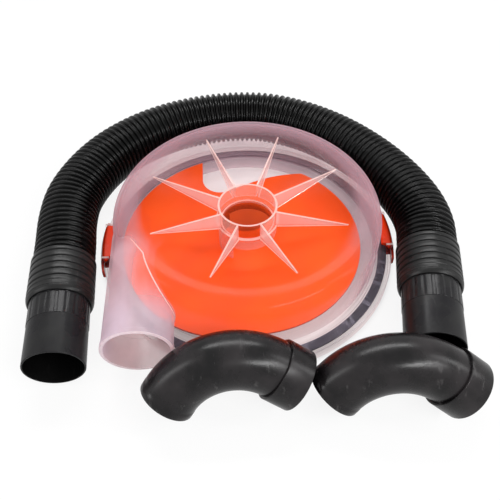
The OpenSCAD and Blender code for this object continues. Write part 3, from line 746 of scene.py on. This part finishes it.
# The collar's grooves: half their width at the top and on the floor
GROOVES = 5
GROOVE_FIRST_U = 6.4
GROOVE_PITCH = 7.9
GROOVE_D = 1.5
GROOVE_TOP, GROOVE_FLOOR = 1.5, 0.7
# The nozzle's flutes. Their half width and the ease beside them are shares of their spacing
FLUTES = 20
FLUTE_LEN = 23
FLUTE_START = COLLAR_LEN + 1
FLUTE_END = FLUTE_START + FLUTE_LEN
FLUTE_FADE = 0.6
FLUTE_D = 0.5
FLUTE_HALF, FLUTE_EASE = 0.19, 0.05


def at_end(end, turn):
    """Puts a shape made along +Z at a hose end, with +Z towards the nozzle's mouth."""
    return (
        Matrix.Translation((end.x, end.y, HOSE_Z))
        @ Matrix.Rotation(math.radians(turn), 4, "Z")
        @ Matrix.Rotation(math.radians(90), 4, "X")
    )


def make_collar(side, place):
    """The rubber sleeve with its grooves, a wide band and a small bead before its lip."""
    socket = TUCK_R + CUFF_GAP
    band = FLANGE_U + 3
    outline = [
        (socket, 0, 0.3), (COLLAR_R - 1.4, 0, 0.6), (COLLAR_R, 1.6, 0.8),
    ]
    floor = COLLAR_R - GROOVE_D
    for i in range(GROOVES):
        u = GROOVE_FIRST_U + GROOVE_PITCH * i
        outline += [
            (COLLAR_R, u - GROOVE_TOP, 0.5), (floor, u - GROOVE_FLOOR, 0.3),
            (floor, u + GROOVE_FLOOR, 0.3), (COLLAR_R, u + GROOVE_TOP, 0.5),
        ]
    outline += [
        (COLLAR_R, band, 0.4), (COLLAR_R - 0.6, band + 0.6, 0.3),
        (COLLAR_R - 0.6, band + 3.8, 0.3), (COLLAR_R, band + 4.4, 0.4),
        (COLLAR_R - 0.05, band + 5.6, 0.2), (COLLAR_R - 0.5, band + 6, 0.2),
        (COLLAR_R - 0.5, band + 6.6, 0.2), (COLLAR_R - 0.2, band + 7, 0.2),
        (COLLAR_R - 0.7, COLLAR_LEN - 2.4, 0.8), (LIP_BORE_R + 1.2, COLLAR_LEN, 0.5),
        (LIP_BORE_R, COLLAR_LEN, 0.3), (LIP_BORE_R, LIP_U), (FLANGE_R + CUFF_GAP, LIP_U),
        (FLANGE_R + CUFF_GAP, RECESS_U), (socket, RECESS_U),
    ]
    collar = smooth(turned(f"collar_{side}_rubber", rounded(outline), 128, place))
    return finish_piece(collar, "hose", "collar", [COLLAR], [f"collar_{side}"])


def flute(a, r, z):
    """Depth of the nozzle's flutes at an angle, on its outer face past the collar."""
    before, after = FLUTE_START - FLUTE_FADE, FLUTE_END + FLUTE_FADE
    if r < NOZZLE_R or not before < z < after:
        return 0
    along = min(1, max(0, (z - before) / FLUTE_FADE), max(0, (after - z) / FLUTE_FADE))
    share = (a * FLUTES / (2 * math.pi)) % 1
    across = min(1, max(0, (FLUTE_HALF - abs(share - 0.5)) / FLUTE_EASE))
    return -FLUTE_D * along * across


def make_nozzle(side, place):
    """The smooth tube with its flange inside the collar and the flutes on its root."""
    inner = NOZZLE_R - NOZZLE_WALL
    root_end = FLUTE_END + 1
    outline = [
        (inner, FLANGE_U), (FLANGE_R, FLANGE_U, 0.3), (FLANGE_R, FLANGE_END_U, 0.3),
        (ROOT_R, FLANGE_END_U), (ROOT_R, FLUTE_START - FLUTE_FADE), (ROOT_R, FLUTE_START),
        (ROOT_R, FLUTE_END), (ROOT_R, FLUTE_END + FLUTE_FADE), (ROOT_R, root_end, 0.2),
        (NOZZLE_R, root_end, 0.2), (NOZZLE_R, MOUTH_U, 0.6), (inner, MOUTH_U, 0.4),
    ]
    nozzle = smooth(turned(f"nozzle_{side}_tube", rounded(outline), 240, place, flute), 24)
    finish_piece(nozzle, f"nozzle_{side}", "nozzle", [NOZZLE, BORE_PAINTED_SHADE], [f"nozzle_{side}"])
    darken_inside(nozzle, place, inner + 0.3)
    return nozzle


hose, hose_path, hose_length = make_hose()
cuffs = {}
for side, end, turn in (("left", LEFT_END, LEFT_TURN), ("right", RIGHT_END, RIGHT_TURN)):
    cuffs[side] = [make_collar(side, at_end(end, turn)), make_nozzle(side, at_end(end, turn))]
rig.cord(
    hose, exit=hose_path[0], length=hose_length, diameter=2 * HOSE_R * MM, far_end="fitting",
    stiffness="stiff", lay="loose", path=hose_path, with_pieces=cuffs["right"],
)


# ---- Elbows ----

ELBOW_R = 26.4
BEND_R = 68
ELBOW_WALL = 2.2
SMALL_LEN = 7
SMALL_R = ELBOW_R + 0.2
CUFF_LEN = 25
CUFF_SOCKET = 18
SOCKET_R = SMALL_R + 0.3
CUFF_R = SOCKET_R + 2.1
SPIGOT = CUFF_LEN - CUFF_SOCKET
GLUE_GAP = 0.1
ARC_STEPS = 48
ELBOW_SIDES = 96


def bend_point(s):
    """Centre point and heading at distance s along an elbow, 0 where its bend starts."""
    arc = BEND_R * math.pi / 2
    a = math.radians(135) - min(max(s, 0), arc) / BEND_R
    d = Vector((math.sin(a), -math.cos(a)))
    over = s - min(max(s, 0), arc)
    return BEND_R * Vector((math.cos(a), math.sin(a))) + over * d, d


def make_elbow(side, apex, pose):
    """A bend and its cuff. apex is the middle of the bend's centreline, and pose its turns."""
    turn = [Matrix.Rotation(math.radians(a), 4, axis) for a, axis in zip(pose, "XYZ")]
    place = Matrix.Translation(apex) @ turn[2] @ turn[1] @ turn[0]
    place = place @ Matrix.Translation((0, -BEND_R, 0))
    arc = BEND_R * math.pi / 2
    bore = ELBOW_R - ELBOW_WALL
    steps = range(ARC_STEPS + 1)
    outer = [(-SMALL_LEN, SMALL_R - 0.5), (-SMALL_LEN + 0.15, SMALL_R - 0.2)]
    outer += [(-SMALL_LEN + 0.5, SMALL_R), (-0.4, SMALL_R)]
    outer += [(arc * i / ARC_STEPS, ELBOW_R) for i in steps]
    outer += [(arc + SPIGOT, ELBOW_R)]
    inner = [(arc + SPIGOT, bore)] + [(arc * i / ARC_STEPS, bore) for i in reversed(steps)]
    inner += [(-SMALL_LEN + 0.3, bore), (-SMALL_LEN, bore + 0.3)]
    rings = []
    for s, r in outer + inner:
        p, d = bend_point(s)
        rings.append([
            place @ Vector((
                p.x + r * math.cos(a) * d.y, p.y - r * math.cos(a) * d.x, r * math.sin(a)
            ))
            for a in (2 * math.pi * k / ELBOW_SIDES for k in range(ELBOW_SIDES))
        ])
    elbow = smooth(ringed(f"elbow_{side}_bend", rings))
    finish_piece(elbow, f"elbow_{side}", "elbow", [ELBOW], [f"elbow_{side}"])

    seat, seat_end = ELBOW_R + GLUE_GAP, SPIGOT + GLUE_GAP
    outline = [
        (seat, 0, 0.2), (CUFF_R, 0, 0.8), (CUFF_R, CUFF_LEN, 0.7), (SOCKET_R, CUFF_LEN, 0.5),
        (SOCKET_R, seat_end), (seat, seat_end),
    ]
    at_large = place @ Matrix.Rotation(math.radians(45), 4, "Z")
    at_large = at_large @ Matrix.Translation((BEND_R, 0, 0))
    at_large = at_large @ Matrix.Rotation(math.radians(90), 4, "X")
    cuff = turned(f"elbow_cuff_{side}_ring", rounded(outline), ELBOW_SIDES, at_large)
    finish_piece(smooth(cuff), f"elbow_{side}", "elbow", [ELBOW], [f"elbow_cuff_{side}"])


make_elbow("left", (-37, -173, 47.8), (59, -9, 7))
make_elbow("right", (116, -183.977, 48.9), (66, -8, -1))


# ---- Separator head ----

SHELL_R = 141
WALL = 2.6
CREST_Z = 75.5
CREST_R = 116
SHOULDER_R = 18
SLOPE = math.radians(20)
BLEND_R = 30
HUB_BORE_R = 29.25
HUB_R = 31.5
HUB_TOP = 68
HUB_FILLET_R = 3
STOP_Z = 45.5
STOP_T, STOP_IN = 2.5, 1.6
# The base ring: its flange, its skirt with a step inside, its gasket channel between the rails,
# and its ledge with the rebate that the baffle lies in
FLANGE_Z = 13
FLANGE_UNDER = 10.8
SKIRT_T, SKIRT_STEP = 1.8, 0.6
STEP_Z = 4
GASKET_Z = 7.8
CHANNEL_OUT_R, CHANNEL_IN_R = 153.8, 144.6
RAIL_IN_R = 142.6
LEDGE_IN_R = 121
LEDGE_Z = 11.6
REBATE_R = 125.1
# The outlet's tube below the dish: its long side's foot, its short side's, and where that is
SHROUD_Z = 11.4
TUBE_Z = 31.1
SHORT_FROM, SHORT_SWEEP, SHORT_STEPS = 235, 255, 51
# Gussets: half thickness and width of the bead along the foot, at the hub and what the tip loses
GUSSETS = 8
RIB_TIP_R = 107
FIN_HALF, FIN_TAPER = 1.1, 0.55
BEAD, BEAD_TAPER = 0.9, 0.6
INLET_R = 33
INLET_BORE_R = 30.4
DUCT_R = 29.8
MOUTH_Y = -155
MOUTH_BEAD = 0.6
SOCKET_LEN = 32
DUCT_END_Y = -8
COLUMN_R = 119
EAR_GAP = 22.5
EAR_T = 2.6
EAR_HALF = 4
PIN_X = 154.5
PIN_Z = 17
PIN_HOLE_R = 1.88
# The baffle's wide rim: the angles where it starts, starts to draw in and has drawn in, and its
# end's radius
WIDE_FROM, WIDE_TO, WIDE_EASE = 106, 218, 64
WIDE_SWEEP = math.radians(110)
WIDE_GAP = 0.5
WIDE_END_R = 122.1
SEGMENTS = 192


def top_line(d):
    """The top's section from the hub to the wall's foot, drawn in by d from its outer face."""
    blend = Vector((CREST_R, CREST_Z - BLEND_R))
    line = []
    for k in range(9):
        a = math.pi / 2 + SLOPE * (1 - k / 8)
        line.append(blend + (BLEND_R - d) * Vector((math.cos(a), math.sin(a))))
    shoulder = Vector((SHELL_R - SHOULDER_R, CREST_Z - SHOULDER_R))
    for k in range(17):
        a = math.pi / 2 * (1 - k / 16)
        line.append(shoulder + (SHOULDER_R - d) * Vector((math.cos(a), math.sin(a))))
    return line


def dish_z(r, d=0):
    """Height of the dish's face at radius r, drawn in by d."""
    start = top_line(d)[0]
    return start.y - (start.x - r) * math.tan(SLOPE)


def head_outline():
    """The section of the whole clear moulding, from the hub out to the skirt and back inside."""
    step_r = SKIRT_R - SKIRT_T - SKIRT_STEP
    outline = [(HUB_BORE_R, HUB_TOP, 0.6), (HUB_R, HUB_TOP, 0.5)]
    outline += [(HUB_R, dish_z(HUB_R), HUB_FILLET_R)]
    outline += [tuple(p) for p in top_line(0)]
    outline += [
        (SHELL_R, FLANGE_Z, 1.2), (SKIRT_R, FLANGE_Z, 0.8), (SKIRT_R, 0, 0.4),
        (SKIRT_R - SKIRT_T, 0, 0.3), (SKIRT_R - SKIRT_T, STEP_Z), (step_r, STEP_Z + SKIRT_STEP),
        (step_r, GASKET_Z), (CHANNEL_OUT_R, GASKET_Z), (CHANNEL_OUT_R, FLANGE_UNDER),
        (CHANNEL_IN_R, FLANGE_UNDER), (CHANNEL_IN_R, GASKET_Z), (RAIL_IN_R, GASKET_Z),
        (RAIL_IN_R, FLANGE_UNDER), (LEDGE_IN_R, FLANGE_UNDER), (LEDGE_IN_R, LEDGE_Z),
        (REBATE_R, LEDGE_Z), (REBATE_R, FLANGE_Z), (SHELL_R - WALL, FLANGE_Z, 1),
    ]
    outline += [tuple(p) for p in reversed(top_line(WALL))]
    outline += [
        (HUB_R, dish_z(HUB_R, WALL), 1), (HUB_R, SHROUD_Z, 0.4), (HUB_BORE_R, SHROUD_Z, 0.4),
        (HUB_BORE_R, STOP_Z - STOP_T), (HUB_BORE_R - STOP_IN, STOP_Z - STOP_T),
        (HUB_BORE_R - STOP_IN, STOP_Z), (HUB_BORE_R, STOP_Z),
    ]
    return rounded(outline, 3)


def prism(name, plan, low, high, place=None):
    """A closed plan in XY raised from low to high."""
    place = place or Matrix.Identity(4)
    rings = [[place @ Vector((x, y, z)) for x, y in plan] for z in (low, high)]
    return ringed(name, rings, wrap=False, caps=True)


def disc(radius, segments=SEGMENTS):
    """The points of a circle."""
    turns = (2 * math.pi * k / segments for k in range(segments))
    return [(radius * math.cos(a), radius * math.sin(a)) for a in turns]


def inlet_bar(name, sections):
    """A bar along the inlet's axis through (y, radius) sections, closed at both ends."""
    rings = [
        [Vector((INLET_X + x, y, INLET_Z + z)) for x, z in disc(radius, 128)]
        for y, radius in sections
    ]
    return ringed(name, rings, wrap=False, caps=True)


def make_gusset(index):
    """A thin tapered fin from the hub to the crest, with a bead along its foot."""
    low, high = HUB_R - 1, RIB_TIP_R
    start, end = HUB_TOP - 0.4, dish_z(high) + 0.9
    rings = []
    for k in range(13):
        r = low + (high - low) * k / 12
        face = dish_z(r)
        fall = max(0, r - HUB_R) / (high - HUB_R)
        top = start + (end - start) * fall
        half, bead = FIN_HALF - FIN_TAPER * fall, BEAD - BEAD_TAPER * fall
        foot = min(face + bead, top - 0.6)
        edge = [(half + bead, face - 0.6), (half + bead, face), (half, foot), (half, top - 0.5)]
        edge += [(half - 0.35, top - 0.12), (0, top)]
        mirrored = [(-y, z) for y, z in reversed(edge[:-1])]
        rings.append([Vector((r, y, z)) for y, z in edge + mirrored])
    turn = Matrix.Rotation(math.radians((index + 0.5) * 360 / GUSSETS), 4, "Z")
    return ringed("gusset", [[turn @ p for p in ring] for ring in rings], wrap=False, caps=True)


def make_ear(x_side, y_side):
    """One plate that holds a latch pin's end."""
    low, high, corner = PIN_X - EAR_HALF, PIN_X + EAR_HALF, 1.4
    foot, top = FLANGE_Z - 1, PIN_Z + EAR_HALF
    plan = rounded([(low - 2, foot), (low, top, corner), (high, top, corner), (high, foot)])
    near = EAR_GAP if y_side > 0 else -EAR_GAP - EAR_T
    place = Matrix.Rotation(0 if x_side > 0 else math.pi, 4, "Z")
    rings = [[place @ Vector((x, y, z)) for x, z in plan] for y in (near, near + EAR_T)]
    return ringed("ear", rings, wrap=False, caps=True)


def rebate_cutter():
    """The rebate in the ledge for the baffle's wide rim, which follows the wall and then draws
    in past the narrow rim."""
    wide = SHELL_R - WALL - WIDE_GAP
    outer, inner = [], []
    for a in range(WIDE_FROM, WIDE_TO + WIDE_EASE + 1, 2):
        drawn = 1 - math.cos(WIDE_SWEEP * max(0, (a - WIDE_TO) / WIDE_EASE))
        r = wide - (wide - WIDE_END_R) * drawn / (1 - math.cos(WIDE_SWEEP))
        across = Vector((math.cos(math.radians(a)), math.sin(math.radians(a))))
        outer.append(tuple(r * across))
        inner.append(tuple((LEDGE_IN_R - 2) * across))
    return prism("rebate_cutter", outer + inner[::-1], LEDGE_Z, FLANGE_Z + 1)


def tube_cutter():
    """What is cut off the hub's tube on its short side."""
    section = [(27, SHROUD_Z - 1), (34, SHROUD_Z - 1), (34, TUBE_Z), (27, TUBE_Z)]
    rings = []
    for k in range(SHORT_STEPS + 1):
        a = math.radians(SHORT_FROM + SHORT_SWEEP * k / SHORT_STEPS)
        rings.append([Vector((r * math.cos(a), r * math.sin(a), z)) for r, z in section])
    return ringed("tube_cutter", rings, wrap=False, caps=True)


def pin_cutter(x_side):
    """The hole for a latch pin through both of its ears."""
    place = Matrix.Translation((x_side * PIN_X, 0, PIN_Z)) @ Matrix.Rotation(math.pi / 2, 4, "X")
    reach = EAR_GAP + EAR_T + 1
    return prism("pin_cutter", disc(PIN_HOLE_R, 32), -reach, reach, place)


def make_head():
    """The clear moulding as one piece: turned body, fins, ears and inlet, less its openings."""
    head = turned("head_shell", head_outline(), SEGMENTS)
    ears = [make_ear(x, y) for x in (1, -1) for y in (1, -1)]
    head = boolean(head, join([make_gusset(i) for i in range(GUSSETS)] + ears), "UNION")

    bead_r = INLET_R + MOUTH_BEAD
    inlet = inlet_bar("inlet", [
        (MOUTH_Y, bead_r - 0.5), (MOUTH_Y + 0.5, bead_r), (MOUTH_Y + 4.5, bead_r),
        (MOUTH_Y + 5, INLET_R), (-100, INLET_R), (-60, INLET_R), (-24, INLET_R),
        (DUCT_END_Y, INLET_R - 1.8),
    ])
    # The inlet's outside starts halfway into the wall and the flange
    mid, under = WALL / 2, FLANGE_Z - 1.1
    axis_r = 0.01
    half_in = [(axis_r, under), (axis_r, CREST_Z - mid)]
    half_in += [tuple(p) for p in top_line(mid)[8:]] + [(SHELL_R - mid, under)]
    inlet = boolean(inlet, turned("keep_out", half_in, SEGMENTS), "DIFFERENCE")
    inlet = boolean(inlet, prism("under", disc(SKIRT_R - 0.3), -5, under), "DIFFERENCE")
    head = boolean(head, inlet, "UNION")

    duct = inlet_bar("duct", [(MOUTH_Y - 5, DUCT_R), (DUCT_END_Y, DUCT_R)])
    duct = boolean(duct, prism("column", disc(COLUMN_R), -5, 90), "DIFFERENCE")
    head = boolean(head, duct, "DIFFERENCE")
    ends = (MOUTH_Y - 5, MOUTH_Y + SOCKET_LEN)
    socket = inlet_bar("socket", [(y, INLET_BORE_R) for y in ends])
    head = boolean(head, socket, "DIFFERENCE")
    notch, deep = EAR_GAP + 0.5, 20
    notches = [
        prism("notch", [(x, -notch), (x + deep, -notch), (x + deep, notch), (x, notch)],
              -1, STEP_Z + SKIRT_STEP)
        for x in (CHANNEL_OUT_R, -CHANNEL_OUT_R - deep)
    ]
    cutters = [tube_cutter(), rebate_cutter(), pin_cutter(1), pin_cutter(-1)]
    return boolean(head, join(notches + cutters), "DIFFERENCE")


def shell_r_at(z):
    """Radius of the head's outer face at a height."""
    rise = max(0, z - CREST_Z + SHOULDER_R)
    return SHELL_R - SHOULDER_R + math.sqrt(max(0, SHOULDER_R**2 - rise**2))


SEAM_R = 0.65
SEAM_START, SEAM_SWEEP, SEAM_STEPS = -48, 129, 60
# How the seam runs out along the inlet's top
SEAM_TAIL = [
    (-107.5, -61.5), (-110.5, -57.5), (-114, -52), (-118, -46.5), (-122, -43), (-127, -41),
]


def make_inlet_seam():
    """The bead where the inlet's outside meets the shoulder and the crest, thinner at its end."""
    points = []
    for k in range(SEAM_STEPS + 1):
        a = math.radians(SEAM_START + SEAM_SWEEP * k / SEAM_STEPS)
        x, z = INLET_X + INLET_R * math.cos(a), INLET_Z + INLET_R * math.sin(a)
        points.append(Vector((x, -math.sqrt(shell_r_at(z) ** 2 - x * x), z)))
    for x, y in SEAM_TAIL:
        rise = math.sqrt(INLET_R**2 - (x - INLET_X) ** 2)
        points.append(Vector((x, y, INLET_Z + rise)))
    last = len(points) - 1
    rings = []
    for i, p in enumerate(points):
        ahead = (points[min(i + 1, last)] - points[max(i - 1, 0)]).normalized()
        side = ahead.cross(Vector((0, 0, 1))).normalized()
        up = side.cross(ahead)
        r = SEAM_R * min(1, 0.25 + (last - i) / 9)
        rings.append([
            p + r * (math.cos(t) * side + math.sin(t) * up)
            for t in (2 * math.pi * k / 10 for k in range(10))
        ])
    seam = smooth(ringed("inlet_seam", rings, wrap=False, caps=True), 60)
    # The seam bead takes the painted highlight
    finish_piece(seam, "head", "clear", [CLEAR_EDGE_HIGHLIGHT])


def material_at(c, up):
    """Which of the clear materials a face of the head gets, from its centre in millimetres and
    its normal: fins, hub, ears, a painted highlight on edges and rims, and a painted shade on the
    outlet's tube."""
    r = math.hypot(c.x, c.y)
    spacing = 360 / GUSSETS
    turn = math.degrees(math.atan2(c.y, c.x)) % spacing - spacing / 2
    beside_fin = abs(r * math.sin(math.radians(turn)))
    above_dish = c.z > dish_z(r) + 0.1
    # Painted highlight on the fins' faces that look up, and below on the hub's top and stop ledge, the ears' tops and
    # the hub's fillet
    if beside_fin < FIN_HALF + 1 and HUB_R + 0.3 < r < RIB_TIP_R + 1 and above_dish:
        return EDGE_HIGHLIGHT if up.z > 0.3 else FIN
    if r < HUB_R + 0.5:
        if c.z < STOP_Z - 3:
            # The far half of the tube below the stop takes the painted shade
            return TUBE_PAINTED_SHADE if c.y > 12 else HUB
        if up.z > 0.5 and (c.z > HUB_TOP - 0.8 or abs(c.z - STOP_Z) < 0.1):
            return EDGE_HIGHLIGHT
        return PLAIN if c.y < 0 and abs(c.x) < 11.5 else HUB
    if abs(c.y) < EAR_GAP + EAR_T + 0.5 and c.z > FLANGE_Z + 0.5 and abs(c.x) > 148:
        return EDGE_HIGHLIGHT if up.z > 0.5 else PLAIN
    if r < HUB_R + HUB_FILLET_R and above_dish:
        return EDGE_HIGHLIGHT
    inlet = c.x < -70 and c.y < -60
    skirt_rim = abs(r - SKIRT_R) < 1 and abs(c.z - FLANGE_Z) < 1
    mouth = c.y < MOUTH_Y + 0.7
    # The inlet's mouth and the skirt's rim get a painted highlight
    return RIM_HIGHLIGHT if (mouth if inlet else skirt_rim) else PLAIN


head = make_head()
smooth(head, 35)
finish_piece(head, "head", "clear", CLEARS, [
    "shell_wall", "shell_shoulder", "inlet_wall", "shell_dish", "hub_gussets", "outlet_hub",
    "inlet_tube", "base_ring", "rim_skirt", "rim_rail", "latch_ears",
])
for face in head.data.polygons:
    face.material_index = material_at(face.center / MM, face.normal)
make_inlet_seam()


# ---- CAD nodes that are shown as they are ----

for names, material in (
    (("baffle",), ORANGE), (("rim_gasket",), SPONGE),
    (("latch_left", "latch_right", "latch_pin_left", "latch_pin_right"), LATCH),
):
    for name in names:
        node = frame["nodes"][name]
        node.data.materials.clear()
        node.data.materials.append(material)


# ---- Floor and light ----

def seen_directly(tree):
    """1 for what the camera, a mirror or a lens sees, and 0 for the light that falls on things."""
    path = tree.nodes.new("ShaderNodeLightPath")
    total = path.outputs["Is Camera Ray"]
    for name in ("Is Glossy Ray", "Is Transmission Ray"):
        node = tree.nodes.new("ShaderNodeMath")
        node.operation = "MAXIMUM"
        tree.links.new(total, node.inputs[0])
        tree.links.new(path.outputs[name], node.inputs[1])
        total = node.outputs[0]
    return total


def make_floor():
    far = 6
    mesh = bpy.data.meshes.new("floor")
    corners = [(-far, -far, 0), (far, -far, 0), (far, far, 0), (-far, far, 0)]
    mesh.from_pydata(corners, [], [(0, 1, 2, 3)])
    floor = bpy.data.objects.new("floor", mesh)
    scene.collection.objects.link(floor)
    floor.location.z = -0.0002
    n = Nodes("floor_white")
    paper = n.add("ShaderNodeBsdfDiffuse", Color=(0.9, 0.9, 0.9, 1)).outputs[0]
    glow = n.add("ShaderNodeEmission", Color=(1, 1, 1, 1), Strength=1.0).outputs[0]
    parts = n.add("ShaderNodeSeparateXYZ", Vector=n.place).outputs
    reach = n.length(parts["X"], parts["Y"])
    under_head, past_head, far_start, far_end = 0.15, 0.165, 0.5, 1.5
    glow_share = n.spread(reach, under_head, past_head, 0.3, 0.88)
    glow_share = n.math("MAXIMUM", glow_share, n.spread(reach, far_start, far_end))
    share = n.math("MULTIPLY", seen_directly(n.tree), glow_share)
    mesh.materials.append(n.done(n.blend(share, paper, glow)))
    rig.stage(floor)


def add_light(name, place, size, power):
    data = bpy.data.lights.new(name, "AREA")
    data.shape = "RECTANGLE"
    data.size, data.size_y = size
    data.energy = power
    light = bpy.data.objects.new(name, data)
    light.location = place
    aim = Vector((0, 0, 0.02)) - Vector(place)
    light.rotation_mode = "QUATERNION"
    light.rotation_quaternion = aim.to_track_quat("-Z", "Y")
    scene.collection.objects.link(light)


def make_world():
    """White where it is seen, and a soft fill elsewhere."""
    world = bpy.data.worlds.new("studio")
    scene.world = world
    world.use_nodes = True
    tree = world.node_tree
    tree.nodes.clear()
    out = tree.nodes.new("ShaderNodeOutputWorld")
    mix = tree.nodes.new("ShaderNodeMixShader")
    tree.links.new(seen_directly(tree), mix.inputs[0])
    for i, strength in ((1, 0.45), (2, 1.0)):
        light = tree.nodes.new("ShaderNodeBackground")
        light.inputs[0].default_value = (1, 1, 1, 1)
        light.inputs[1].default_value = strength
        tree.links.new(light.outputs[0], mix.inputs[i])
    tree.links.new(mix.outputs[0], out.inputs["Surface"])


make_floor()
make_world()
add_light("overhead", (0.0, 0.75, 1.2), (1.3, 0.2), 12)
add_light("key", (0.6, -0.8, 1.0), (0.8, 0.07), 9)
add_light("side_left", (-1.1, -0.2, 0.8), (0.2, 0.8), 3.5)
add_light("side_right", (1.1, -0.2, 0.8), (0.2, 0.8), 3.5)
scene.view_settings.view_transform = "Standard"

seen_low, seen_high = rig.bounds()
with open("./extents.json", "w") as f:
    json.dump({
        "cad": [list(cad_low), list(cad_high)],
        "visual": [list(seen_low), list(seen_high)],
    }, f)
